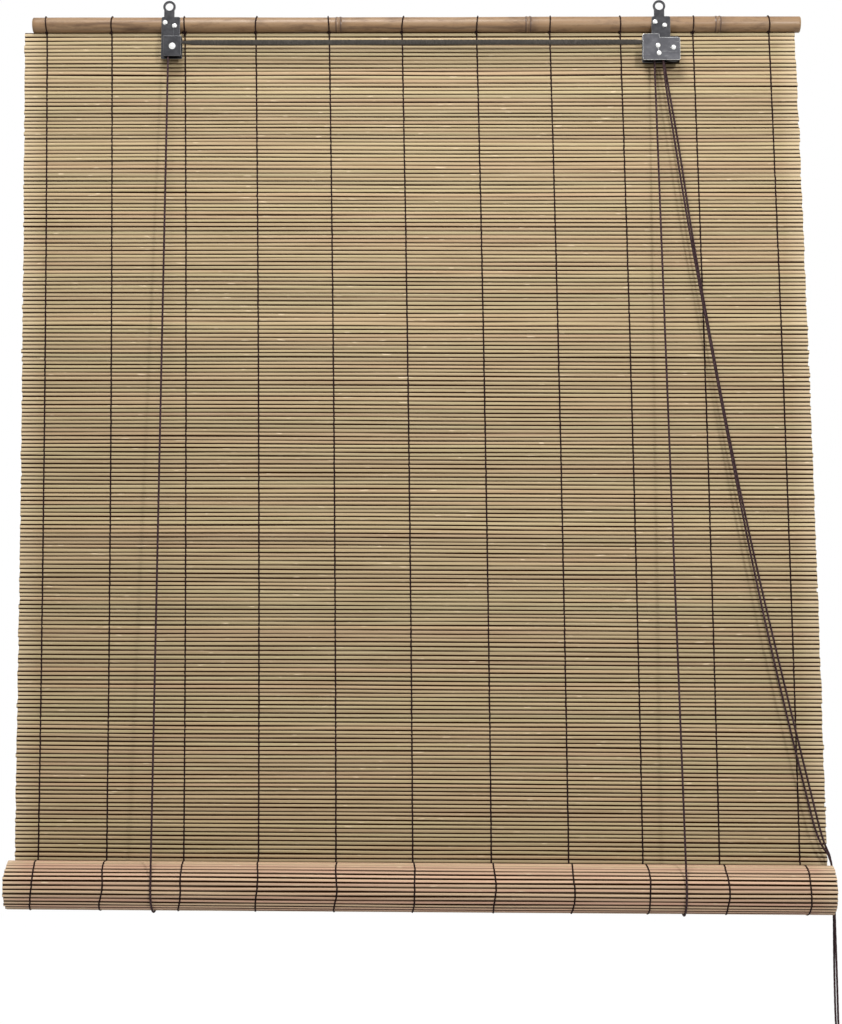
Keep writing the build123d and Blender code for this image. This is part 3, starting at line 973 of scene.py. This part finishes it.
@dataclass
class HangingMat:
    """The part of the mat between the pole and the roll."""

    finishes: Finishes
    reeds: Reeds = field(default_factory=Reeds)
    places: int = 41
    overlap: float = 1.16
    height_spread: float = 0.07
    warmth: tuple[float, float] = (0.45, 0.25)
    head_reach: float = 0.0008
    # Strength of the painted shade between reeds: fainter at the head, darker towards the foot, and
    # strongest under the pole as its painted shadow.
    head_shade: float = 0.75
    foot_shade: float = 1.55
    pole_shadow: float = 2.0
    depth_spread: float = 0.00016
    seed: int = 11

    def build(self) -> bpy.types.Object:
        """Lay the reeds under each other and dress them.

        Returns:
            The mat.
        """
        count = PLACES.hanging_reeds
        draw = np.random.default_rng(self.seed)
        heights = draw.normal(1, self.height_spread, count)
        heights *= PLACES.hang_length / heights.sum()
        top = PLACES.mat_top - np.concatenate([[0], np.cumsum(heights)])
        top[0] += self.head_reach
        x = np.linspace(0, PLACES.mat_width, self.places)
        stray = self.reeds.stems(count, x, self.seed + 1)
        stray[0] = stray[-1] = 0
        seam_shade = self.reeds.crevice_shade_strength(count + 1, x, self.seed + 2, self.head_shade, self.foot_shade)
        # The joint under the pole takes the strongest painted shade, a painted shadow of the pole.
        seam_shade[0] = self.pole_shadow
        tone = draw.uniform(0, 1, count)
        warmth = np.clip(draw.normal(*self.warmth, count), 0, 1)
        shift = draw.normal(0, self.depth_spread, count)
        ends = draw.normal(0, self.reeds.end_spread, (count, 2))
        across = np.array(self.reeds.heights)
        depth = self.reeds.half_depth * np.array(self.reeds.depths)
        skin = Skin("reed_mat_hanging")
        for row in range(count):
            middle = (top[row] + top[row + 1]) / 2 + stray[row]
            half = (top[row] - top[row + 1]) / 2 * self.overlap
            z = middle[:, None] + half * across
            along = self.reeds.along(PLACES.mat_left, ends[row], x)
            leaned = along + PLACES.leaned(middle)[:, None] + 0 * z
            y = PLACES.pole_y + shift[row] + depth + 0 * z
            edges = np.where(across > 0, seam_shade[row][:, None], seam_shade[row + 1][:, None])
            rings = np.stack([leaned, y, z], axis=2)
            self.reeds.lay(skin, rings, edges, tone[row], warmth[row])
        piece = settled(skin.build(self.finishes.reed), Body.HEAD, "reed", "reed_mat")
        return closing(piece)


@dataclass
class RolledMat:
    """The part of the mat that is wound on the bottom pole."""

    finishes: Finishes
    reeds: Reeds = field(default_factory=Reeds)
    places: int = 41
    hidden_places: int = 6
    outer_reeds: int = 37
    warmth: tuple[float, float] = (0.5, 0.28)
    # Strength of the painted shade between the wound reeds, faded out over the top of the roll.
    seam_shade: float = 1.4
    top_fade: float = 0.9
    fade_height: float = 0.024
    fade_power: int = 3
    stray_gain: float = 1.6
    seed: int = 29

    @staticmethod
    def spiral(wound: np.ndarray, lift: np.ndarray) -> tuple[np.ndarray, np.ndarray]:
        """A place on the roll's section.

        Args:
            wound: Length of mat wound so far, from where it leaves the hanging part.
            lift: Distance outwards from mid thickness.

        Returns:
            Depth and height in the frame.
        """
        outer = PLACES.outer_turn_radius
        radius = np.sqrt(outer**2 - wound * PLACES.turn_pitch / pi)
        angle = 2 * pi * (outer - radius) / PLACES.turn_pitch
        y = PLACES.roll_y + (radius + lift) * np.cos(angle)
        return y, PLACES.roll_z - (radius + lift) * np.sin(angle)

    def build(self) -> bpy.types.Object:
        """Wind the reeds, dress them and put them on the roll.

        Returns:
            The wound reeds.
        """
        count = PLACES.wound_reeds
        draw = np.random.default_rng(self.seed)
        tone = draw.uniform(0, 1, count)
        warmth = np.clip(draw.normal(*self.warmth, count), 0, 1)
        ends = draw.normal(0, self.reeds.end_spread, (count, 2))
        ends[:, 1] = -np.abs(ends[:, 1])
        left = PLACES.mat_left + PLACES.mat_lean
        across = np.array(self.reeds.heights)
        depth = self.reeds.half_depth * np.array(self.reeds.depths)
        skin = Skin("reed_mat_rolled")
        for reed in range(count):
            places = self.places if reed < self.outer_reeds else self.hidden_places
            x = np.linspace(0, PLACES.mat_width, places)
            stray = self.stray_gain * self.reeds.stems(count, x, self.seed + 1)[reed]
            seam_shade = self.reeds.crevice_shade_strength(count + 1, x, self.seed + 2, self.seam_shade, self.seam_shade)
            middle = (reed + 0.5) * PLACES.reed_pitch + stray
            half = PLACES.reed_pitch / 2
            wound = np.clip(middle[:, None] + half * across, 0, count * PLACES.reed_pitch)
            y, z = self.spiral(wound, depth)
            rings = np.stack([self.reeds.along(left, ends[reed], x) + 0 * y, y, z], axis=2)
            edges = np.where(across < 0, seam_shade[reed][:, None], seam_shade[reed + 1][:, None])
            # The painted shade between reeds fades out towards the top of the roll, which is lit
            # from above.
            rise = np.clip((z - PLACES.roll_z) / self.fade_height, 0, 1)
            edges = edges * (1 - self.top_fade * rise**self.fade_power)
            self.reeds.lay(skin, rings, edges, tone[reed], warmth[reed])
        dressed("bottom_pole", self.finishes.cane)
        return settled(skin.build(self.finishes.reed), Body.ROLL, "reed", "reed_roll")


@dataclass
class Stitching:
    """The dark threads that tie the reeds together and the mat to the pole."""

    finishes: Finishes
    half_width: float = 0.001
    flatness: float = 0.6
    sides: int = 6
    proud: float = 0.0003
    sink: float = 0.0002
    stray: float = 0.00016
    loop_lean: float = 0.0022
    lean_shares: tuple[float, float] = (0.2, 1.0)
    loop_foot_reeds: float = 1.2
    loop_head_reeds: float = 0.1
    loop_gap: float = 0.0003
    loop_points: int = 41
    loop_share: float = 0.85
    knot_shift: Point = (-0.0004, -0.0012, 0.0004)
    knot_share: float = 0.7
    knot_size: float = 0.0016
    tied_threads: tuple[int, ...] = (2, 9)
    tied_knot_size: float = 0.0028
    wrap_shift: float = 0.004
    wrap_squeeze: float = 0.9955
    wrap_sway: float = 0.0006
    wrap_wave: float = 3.1
    wrap_phase: float = 2.4
    wrap_sink: float = 0.6
    wrap_power: float = 1.5
    wrap_foot_lean: float = 0.0036
    wrap_head_lean: float = 0.0022
    seed: int = 47

    def build(self) -> None:
        """Make each thread: a run down the mat, a loop over the pole and a wrap on the roll."""
        draw = np.random.default_rng(self.seed)
        for number in range(len(PLACES.thread_shares)):
            lean = draw.choice([-1, 1]) * draw.uniform(*self.lean_shares) * self.loop_lean
            wander = draw.normal(0, self.stray, 2 * PLACES.hanging_reeds + 1)
            self.run(number, wander)
            self.loop(number, lean)
            self.wrap(number, wander)

    def run(self, number: int, wander: np.ndarray) -> None:
        """The stitches down the front and the back of the hanging mat.

        Args:
            number: The thread, from the left.
            wander: Sideways straying at each stitch.
        """
        rows = np.arange(1, 2 * PLACES.hanging_reeds)
        z = PLACES.mat_top - rows * PLACES.reed_pitch / 2
        x = PLACES.thread_x(number) + PLACES.leaned(z) + wander[rows]
        lift = PLACES.mat_half + np.where(rows % 2 == 1, self.proud, -self.sink)
        skin = Skin(f"stitch_run_{number + 1:02d}")
        section = round_section(self.half_width, self.sides, self.flatness)
        for face in (-1, 1):
            middle = np.stack([x, PLACES.pole_y + face * lift, z], axis=1)
            flat = np.concatenate([section, np.zeros((self.sides, 1))], axis=1)
            skin.add(middle[:, None] + flat)
        node = f"stitch_thread_{number + 1:02d}"
        piece = settled(skin.build(self.finishes.stitching), Body.HEAD, "stitching", node)
        closing(piece)

    def loop(self, number: int, lean: float) -> None:
        """The loop that ties the mat to the pole, with its knot under the pole.

        Args:
            number: The thread, from the left.
            lean: How far the loop slants along the pole.
        """
        face = PLACES.mat_half + self.proud
        foot = PLACES.mat_top - self.loop_foot_reeds * PLACES.reed_pitch
        radius = PLACES.pole_radius + self.loop_gap + self.half_width * self.flatness
        reach = hypot(face, foot - PLACES.pole_z)
        start = atan2(foot - PLACES.pole_z, -face) - acos(radius / reach)
        turn = np.linspace(start, -3 * pi - start, self.loop_points)
        y = np.concatenate([[-face, -face], radius * np.cos(turn), [face, face]])
        feet = np.array([foot, PLACES.mat_top - self.loop_head_reeds * PLACES.reed_pitch])
        z = np.concatenate([feet, PLACES.pole_z + radius * np.sin(turn), feet[::-1]])
        x = PLACES.thread_x(number) + lean * np.sin(np.linspace(0, pi, len(y))) ** 2
        line = np.stack([x, PLACES.pole_y + y, z], axis=1)
        skin = Skin(f"stitch_loop_{number + 1:02d}")
        skin.add(swept(line, round_section(self.half_width * self.loop_share, self.sides)))
        front = np.array([PLACES.thread_x(number), PLACES.pole_y - face, PLACES.mat_top])
        size = self.tied_knot_size if number in self.tied_threads else self.knot_size
        knot = overhand_knot(tuple(front + self.knot_shift), size)
        skin.add(swept(knot, round_section(self.half_width * self.knot_share, self.sides)))
        settled(skin.build(self.finishes.stitching), Body.HEAD, "stitching")

    def wrap(self, number: int, wander: np.ndarray) -> None:
        """The same thread on the outside of the roll's outer turn.

        Args:
            number: The thread, from the left.
            wander: Sideways straying at each stitch.
        """
        turn_length = 2 * pi * (PLACES.outer_turn_radius - PLACES.turn_pitch / 2)
        rows = np.arange(1, int(2 * turn_length / PLACES.reed_pitch))
        sunk = -self.sink * self.wrap_sink
        lift = PLACES.mat_half + np.where(rows % 2 == 1, self.proud, sunk)
        y, z = RolledMat.spiral(rows * PLACES.reed_pitch / 2, lift)
        slack = self.wrap_sway * np.sin(rows / self.wrap_wave + self.wrap_phase * number)
        x = self.wrap_shift + self.wrap_squeeze * (PLACES.thread_x(number) + PLACES.mat_lean)
        height = (z - PLACES.roll_z) / PLACES.outer_turn_radius
        foot = self.wrap_foot_lean * (1 - 2 * x / PLACES.mat_width)
        most = np.where(height < 0, foot, self.wrap_head_lean)
        lean = most * np.abs(height) ** self.wrap_power
        line = np.stack([x - lean + slack + wander[rows], y, z], axis=1)
        skin = Skin(f"stitch_wrap_{number + 1:02d}")
        skin.add(swept(line, round_section(self.half_width, self.sides, self.flatness)))
        settled(skin.build(self.finishes.stitching), Body.ROLL, "stitching")


@dataclass
class Hardware:
    """Hanger plates, cord housings, nails, rivets, pulleys and the toothed pawl."""

    finishes: Finishes
    eased_edge: float = 0.00035
    eased_steps: int = 2
    eased_profile: float = 0.6
    weld: float = 1e-6
    flat_degrees: float = 2.0
    edge_degrees: float = 35.0
    bare_share: float = 0.8
    bright: tuple[str, ...] = (
        "hanger_nails_left", "hanger_nails_right", "pulley_rivet_left", "cord_lock_rivets",
    )
    moulded: tuple[str, ...] = ("pulley_left", "pulley_lock_upper", "pulley_lock_lower")

    def build(self) -> None:
        """Ease the edges of the sheet metal and dress what stays as it is."""
        dark = self.finishes.dark_steel
        plated = self.finishes.plated_steel
        self.eased("hanger_plate_left", "hanger_strip_left", "dark_steel", dark)
        self.eased("pulley_housing_left", "pulley_cheek_left", "dark_steel", dark)
        # The right hanger strip is plated steel but takes the darker dark_steel finish: painted
        # shade.
        self.eased("hanger_plate_right", "hanger_strip_right", "plated_steel", dark)
        self.eased("cord_lock_housing", "cord_lock_cheek", "plated_steel", plated)
        for node in self.bright:
            dressed(node, self.finishes.bright_steel)
        for node in self.moulded:
            dressed(node, self.finishes.nylon)
        dressed("cord_lock_pawl", self.finishes.black_iron)

    def eased(self, node: str, name: str, slot: str, material: bpy.types.Material) -> None:
        """Copy a sheet of the frame with its edges rubbed smooth.

        Args:
            node: The CAD node.
            name: Name of the new piece.
            slot: The record's material slot.
            material: Its finish.
        """
        shape = bmesh.new()
        shape.from_mesh(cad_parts[node].data)
        bare = shape.faces.layers.float.new("bare")
        bmesh.ops.remove_doubles(shape, verts=shape.verts, dist=self.weld)
        bmesh.ops.dissolve_limit(
            shape, angle_limit=radians(self.flat_degrees), verts=shape.verts, edges=shape.edges
        )
        limit = radians(self.edge_degrees)
        edges = [e for e in shape.edges if len(e.link_faces) == 2 and e.calc_face_angle() > limit]
        bmesh.ops.bevel(
            shape,
            geom=edges,
            offset=self.eased_edge,
            segments=self.eased_steps,
            profile=self.eased_profile,
            affect="EDGES",
        )
        for face in shape.faces:
            if 2 * face.calc_area() / face.calc_perimeter() < self.eased_edge:
                face[bare] = self.bare_share
        mesh = bpy.data.meshes.new(name)
        shape.to_mesh(mesh)
        shape.free()
        mesh.materials.append(material)
        settled(placed(name, mesh), Body.HEAD, slot, node)


@dataclass
class LiftCords:
    """The two cords that carry the roll, and the one that crosses from pulley to lock."""

    finishes: Finishes
    cord: LaidCord = LaidCord()
    sling_radius: float = 0.032509
    sling_press: float = 0.0025
    sling_samples: int = 60
    lead_level: float = -0.0775
    sling_rise: float = 0.045
    tops: dict[Side, Point] = field(
        default_factory=lambda: {
            Side.LEFT: (-0.3163, -0.0075, -0.0567),
            Side.RIGHT: (0.3099, -0.0030, -0.0668),
        }
    )
    sling_x: dict[Side, float] = field(
        default_factory=lambda: {Side.LEFT: -0.3085, Side.RIGHT: 0.3328}
    )
    tie_x: dict[Side, float] = field(
        default_factory=lambda: {Side.LEFT: -0.3008, Side.RIGHT: 0.3332}
    )
    tie_radius: float = 0.0118
    tie_turn_degrees: float = 45
    tie_samples: int = 12
    knot_size: float = 0.0026
    crossing_start: Point = (-0.3108, -0.0075, -0.0509)
    crossing_end: Point = (0.3141, -0.0075, -0.0509)
    crossing_pulley: float = 0.0055
    crossing_width: float = 0.0070
    crossing_depth: float = 0.0021
    crossing_samples: int = 400
    crossing_sides: int = 12
    curl_samples: int = 12
    flat_run: float = 0.02
    flat_start: float = 0.4
    plait_depth: float = 0.05
    plait_rate: float = 1.9

    def build(self) -> None:
        """Make both lift cords and the crossing cord."""
        for side in Side:
            self.strands(side)
        self.crossing()
        dressed("lift_cord_right_turn", self.finishes.brown_cord)

    def strands(self, side: Side) -> None:
        """The front strand, the sling, the back strand and its knot behind the pole.

        The front strand is in three lengths: one stays under the housing, one hangs from the head
        and one moves with the sling. The front strand is in three lengths, so that it stays clear of
        its pulley and of the roll when the roll is up.

        Args:
            side: Which end of the blind.
        """
        top = np.array(self.tops[side])
        centre = np.array([self.sling_x[side], PLACES.roll_y, PLACES.roll_z])
        across, up = top[1] - centre[1], top[2] - centre[2]
        lift = atan2(up, across) + acos(self.sling_radius / hypot(across, up)) - pi
        turn = np.linspace(pi + lift, 2 * pi, self.sling_samples)
        arc = np.stack([0 * turn, np.cos(turn), np.sin(turn)], axis=1)
        radius = self.sling_radius - self.sling_press * (1 - turn / (2 * pi))
        sling = centre + radius[:, None] * arc
        rings = self.cord.rings(np.concatenate([[top], sling]))
        level = rings.mean(axis=1)[:, 2]
        lead = int(np.argmax(level < self.lead_level))
        foot = int(np.argmax(level < PLACES.roll_z + self.sling_rise))
        name = f"lift_cord_{side.value}"
        material = self.finishes.brown_cord
        cord_piece(f"{name}_lead", rings[: lead + 1], material, Body.HEAD)
        shut = rings[lead : foot + 1]
        run = cord_piece(f"{name}_run", shut, material, Body.HEAD, f"{name}_front")
        closing(run)
        cord_piece(f"{name}_cradle", rings[foot:], material, Body.SLINGS, f"{name}_sling")
        head = np.array([self.tie_x[side], PLACES.pole_y + self.tie_radius, PLACES.pole_z])
        rings = self.cord.rings(np.stack([head, sling[-1]]))
        back = cord_piece(f"{name}_return", rings, material, Body.HEAD, f"{name}_back")
        closing(back)
        turn = np.radians(np.linspace(0, self.tie_turn_degrees, self.tie_samples))
        loop = np.stack([0 * turn, np.cos(turn) - 1, np.sin(turn)], axis=1)
        end = head + self.tie_radius * loop
        cord_piece(f"{name}_tie", self.cord.rings(end), material, Body.HEAD)
        knot = self.cord.knot(tuple(end[-1]), self.knot_size)
        cord_piece(f"{name}_knot", knot, material, Body.HEAD)

    def crossing(self) -> None:
        """The crossing cord from the left pulley along the pole into the lock, widened into a flat
        grey band.
        """
        start, end = np.array(self.crossing_start), np.array(self.crossing_end)
        share = np.linspace(0, 1, self.crossing_samples)[:, None]
        line = start + share * (end - start)
        turn = np.radians(np.linspace(90, 0, self.curl_samples))
        curl = np.stack([np.cos(turn), 0 * turn, np.sin(turn) - 1], axis=1) * self.crossing_pulley
        line = np.concatenate([(start + curl * [-1, 1, 1])[:0:-1], line, (end + curl)[1:]])
        near = np.minimum(line[:, 0] - start[0], end[0] - line[:, 0])
        inside = np.clip(near / self.flat_run - self.flat_start, 0, 1)
        height = self.cord.diameter / 2 + inside * (self.crossing_width - self.cord.diameter) / 2
        depth = self.cord.diameter / 2 + inside * (self.crossing_depth - self.cord.diameter) / 2
        plait = 1 + self.plait_depth * np.sin(np.arange(len(line)) * self.plait_rate)
        wide, deep = round_section(1.0, self.crossing_sides).T
        offsets = np.stack([wide * (height * plait)[:, None], deep * depth[:, None]], axis=2)
        skin = Skin("crossing_cord_band")
        skin.add(swept(line, offsets))
        settled(skin.build(self.finishes.grey_cord), Body.HEAD, "grey_cord", "crossing_cord")


@dataclass
class PullCords:
    """The two free cords that hang from the lock, with their spare length in one tied coil."""

    finishes: Finishes
    cord: LaidCord = LaidCord()
    length: float = 2.0
    routes: dict[Side, list[Point]] = field(
        default_factory=lambda: {
            Side.LEFT: [
                (0.3196, -0.0075, -0.0567),
                (0.3215, -0.0075, -0.0950),
                (0.3339, -0.0075, -0.1800),
                (0.3506, -0.0074, -0.2950),
                (0.3720, -0.0073, -0.4200),
                (0.3965, -0.0071, -0.5650),
                (0.4230, -0.0069, -0.7160),
                (0.4535, -0.0067, -0.8650),
                (0.4865, -0.0065, -1.0100),
                (0.4990, -0.0064, -1.0620),
                (0.5168, -0.0064, -1.0850),
                (0.5172, -0.0063, -1.1500),
                (0.5182, -0.0062, -1.2150),
                (0.5188, -0.0062, -1.2910),
            ],
            Side.RIGHT: [
                (0.3209, -0.0030, -0.0668),
                (0.3270, -0.0030, -0.1050),
                (0.3406, -0.0030, -0.1900),
                (0.3549, -0.0030, -0.3000),
                (0.3744, -0.0030, -0.4200),
                (0.3988, -0.0029, -0.5650),
                (0.4278, -0.0028, -0.7160),
                (0.4605, -0.0027, -0.8650),
                (0.4935, -0.0026, -1.0100),
                (0.5055, -0.0025, -1.0620),
                (0.5168, -0.0025, -1.0850),
                (0.5168, -0.0025, -1.1500),
                (0.5158, -0.0026, -1.2150),
                (0.5164, -0.0026, -1.2910),
            ],
        }
    )
    coil_centre: Point = (0.5026, -0.0044, -1.30817)
    coil_radius: float = 0.015
    cell: float = 0.0027
    turns: int = 8
    open_turn: float = 0.35
    turn_points: int = 16
    step_share: float = 0.16
    columns: dict[Side, tuple[float, float]] = field(
        default_factory=lambda: {Side.LEFT: (-0.5, -1.5), Side.RIGHT: (0.5, 1.5)}
    )
    layers: tuple[float, ...] = (1.5, 0.5, -0.5, -1.5, -1.5, -0.5, 0.5, 1.5, 1.5)
    knot_size: float = 0.0026
    tie_turns: int = 5
    tie_samples: int = 160
    tie_radius: float = 0.0071
    tie_half: float = 0.002
    tie_thread: float = 0.0005
    tie_sides: int = 6
    lead_level: float = -0.0780
    swing_degrees: float = -45.0
    kept_depth: float = 0.21

    def coil(self, side: Side) -> list[Point]:
        """The points of one cord's turns, layer by layer in and then out again.

        Args:
            side: Which cord.

        Returns:
            Points that go on from the end of the cord's route.
        """
        near, far = self.columns[side]
        middle = np.array(self.coil_centre)
        points = []
        for count in range(1, int((self.turns - self.open_turn) * self.turn_points)):
            turned = count / self.turn_points
            whole = int(turned + 0.5)
            step = np.clip((turned + 0.5 - whole) / self.step_share, 0, 1)
            step = step * step * (3 - 2 * step)
            before = self.layers[max(whole - 1, 0)]
            layer = before + step * (self.layers[whole] - before)
            half = self.turns // 2
            crossed = step if whole == half else float(whole > half)
            column = near + crossed * (far - near)
            radius = self.coil_radius + layer * self.cell
            angle = -2 * pi * turned
            place = middle + [radius * cos(angle), column * self.cell, radius * sin(angle)]
            points.append(tuple(place))
        return points

    def line(self, side: Side) -> np.ndarray:
        """The smooth line of one cord, read from its spline.

        Args:
            side: Which cord.

        Returns:
            Dense points from the lock to the cord's end.
        """
        points = self.routes[side] + self.coil(side)
        curve = bpy.data.curves.new("route", "CURVE")
        curve.dimensions = "3D"
        spline = curve.splines.new("NURBS")
        spline.points.add(len(points) - 1)
        for knot, place in zip(spline.points, points):
            knot.co = (*place, 1.0)
        spline.order_u = 3
        spline.use_endpoint_u = True
        spline.resolution_u = 24
        holder = bpy.data.objects.new("route", curve)
        mesh = bpy.data.meshes.new_from_object(holder)
        dense = np.array([vertex.co for vertex in mesh.vertices])
        bpy.data.objects.remove(holder)
        bpy.data.curves.remove(curve)
        bpy.data.meshes.remove(mesh)
        return dense

    def build(self) -> None:
        """Make both cords with their end knots and the tie round their coil."""
        tie = self.tie()
        material = self.finishes.brown_cord
        for side in Side:
            line = spaced(self.line(side), self.cord.spacing)
            rings = self.cord.rings(line)
            middle = rings.mean(axis=1)
            lead = int(np.argmax(middle[:, 2] < self.lead_level))
            name = f"pull_cord_{side.value}"
            coil = ["pull_cord_coil"] if side is Side.LEFT else []
            cord = cord_piece(f"{name}_laid", rings[lead:], material, Body.HEAD, name, *coil)
            inside = cord_piece(f"{name}_lead", rings[: lead + 1], material, Body.HEAD)
            knot = self.cord.knot(tuple(line[-1]), self.knot_size)
            swung = [cord_piece(f"{name}_knot", knot, material, Body.HEAD)]
            swung += [tie] if side is Side.LEFT else []
            for piece in [cord, *swung]:
                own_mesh(piece)

    def tie(self) -> bpy.types.Object:
        """The thread wound round the coil.

        Returns:
            The tie, in place of the frame's band.
        """
        middle = np.array(self.coil_centre) + [self.coil_radius, 0, 0]
        turn = np.linspace(0, 2 * pi * self.tie_turns, self.tie_samples)
        reach = self.tie_radius
        rise = np.linspace(-self.tie_half, self.tie_half, len(turn))
        line = middle + np.stack([reach * np.cos(turn), reach * np.sin(turn), rise], axis=1)
        skin = Skin("pull_cord_tie_wound")
        skin.add(swept(line, round_section(self.tie_thread, self.tie_sides)))
        return settled(skin.build(self.finishes.stitching), Body.HEAD, "stitching", "pull_cord_tie")


# Studio


@dataclass
class Lamp:
    """One soft lamp."""

    name: str
    place: Point
    aim: Point
    size: float
    watts: float

    def build(self) -> None:
        """Hang the lamp and turn it to its aim."""
        light = bpy.data.lights.new(self.name, "AREA")
        light.shape = "DISK"
        light.size = self.size
        light.energy = self.watts
        holder = placed(self.name, light)
        holder.location = self.place
        away = Vector(self.aim) - Vector(self.place)
        holder.rotation_euler = away.to_track_quat("-Z", "Y").to_euler()


@dataclass
class Studio:
    """White surroundings, a pale floor, soft lamps and the photograph's camera."""

    floor_z: float = -2.0
    floor_size: float = 14.0
    floor_grey: Colour = (0.72, 0.72, 0.72, 1.0)
    floor_glow: float = 1.14
    floor_share: float = 0.85
    sky_light: float = 0.30
    white: Colour = (1.0, 1.0, 1.0, 1.0)
    camera_place: Point = (0.0479, -2.1552, -0.9005)
    yaw: float = 0.902
    roll: float = -0.286
    pitch: float = 6.402
    focal_pixels: float = 1731.5
    photo_width: int = 842
    sensor: float = 36.0
    lamps: tuple[Lamp, ...] = (
        Lamp("key_lamp", (1.25, -2.4, 0.35), (0.0, 0.0, -0.55), 0.25, 38.0),
        Lamp("top_lamp", (-0.3, -1.5, 1.5), (0.0, 0.0, -0.7), 1.0, 50.0),
        Lamp("back_lamp", (-0.8, 2.6, 0.4), (0.0, 0.0, -0.6), 1.5, 30.0),
    )

    def build(self) -> None:
        """Set the world, the floor, the lamps and the camera."""
        bpy.context.scene.view_settings.view_transform = "Standard"
        self.world()
        self.floor()
        for lamp in self.lamps:
            lamp.build()
        self.camera()

    @staticmethod
    def seen(nodes: Nodes, low: float, high: float) -> bpy.types.NodeSocket:
        """A number for rays from the camera, a reflection or glass, and another for the rest.

        Args:
            nodes: The node tree to add to.
            low: The number for the rest.
            high: The number for such rays.

        Returns:
            The number.
        """
        path = nodes.node("ShaderNodeLightPath", {})
        found = path.outputs["Is Camera Ray"]
        for name in ("Is Glossy Ray", "Is Transmission Ray"):
            found = nodes.figured("MAXIMUM", found, path.outputs[name])
        inputs = {"Value": found, "To Min": low, "To Max": high}
        return nodes.node("ShaderNodeMapRange", inputs).outputs["Result"]

    def world(self) -> None:
        """White to look at, softer as a light."""
        world = bpy.data.worlds.new("studio")
        world.use_nodes = True
        tree = world.node_tree
        shade = tree.nodes["Background"]
        shade.inputs["Color"].default_value = self.white
        strength = self.seen(Nodes(tree), self.sky_light, 1.0)
        tree.links.new(strength, shade.inputs["Strength"])
        bpy.context.scene.world = world

    def floor(self) -> None:
        """A pale floor that keeps a soft shadow."""
        half = self.floor_size / 2
        corners = [(-half, -half), (half, -half), (half, half), (-half, half)]
        mesh = bpy.data.meshes.new("floor")
        mesh.from_pydata([(x, y, self.floor_z) for x, y in corners], [], [(0, 1, 2, 3)])
        material = bpy.data.materials.new("pale_floor")
        material.use_nodes = True
        tree = material.node_tree
        tree.nodes.remove(tree.nodes["Principled BSDF"])
        nodes = Nodes(tree)
        matt = nodes.node("ShaderNodeBsdfDiffuse", {"Color": self.floor_grey})
        glow = {"Color": self.white, "Strength": self.floor_glow}
        light = nodes.node("ShaderNodeEmission", glow)
        share = self.seen(nodes, 0.0, self.floor_share)
        mixed = {"Fac": share, 1: matt.outputs["BSDF"], 2: light.outputs["Emission"]}
        both = nodes.node("ShaderNodeMixShader", mixed)
        tree.links.new(both.outputs["Shader"], tree.nodes["Material Output"].inputs["Surface"])
        mesh.materials.append(material)
        placed("floor", mesh)

    def camera(self) -> None:
        """The photograph's view."""
        lens = bpy.data.cameras.new("photo_camera")
        lens.sensor_fit = "HORIZONTAL"
        lens.sensor_width = self.sensor
        lens.lens = self.focal_pixels * self.sensor / self.photo_width
        turn = Matrix.Rotation(radians(self.yaw), 3, "Z")
        turn = turn @ Matrix.Rotation(radians(self.roll), 3, "Y")
        turn = turn @ Matrix.Rotation(radians(self.pitch), 3, "X")
        right, ahead, up = turn.col[0], turn.col[1], turn.col[2]
        stand = Matrix((right, up, -ahead)).transposed().to_4x4()
        stand.translation = Vector(self.camera_place)
        camera = placed("photo_camera", lens)
        camera.matrix_world = stand
        bpy.context.scene.camera = camera


def main() -> None:
    """Build the studio and every sub-assembly in order."""
    logging.basicConfig(level=logging.INFO, format="%(name)s: %(message)s")
    Studio().build()
    finishes = Finishes()
    PullCords(finishes).build()
    LiftCords(finishes).build()
    HeadPole(finishes).build()
    HangingMat(finishes).build()
    RolledMat(finishes).build()
    Stitching(finishes).build()
    Hardware(finishes).build()


if __name__ == "__main__":
    main()
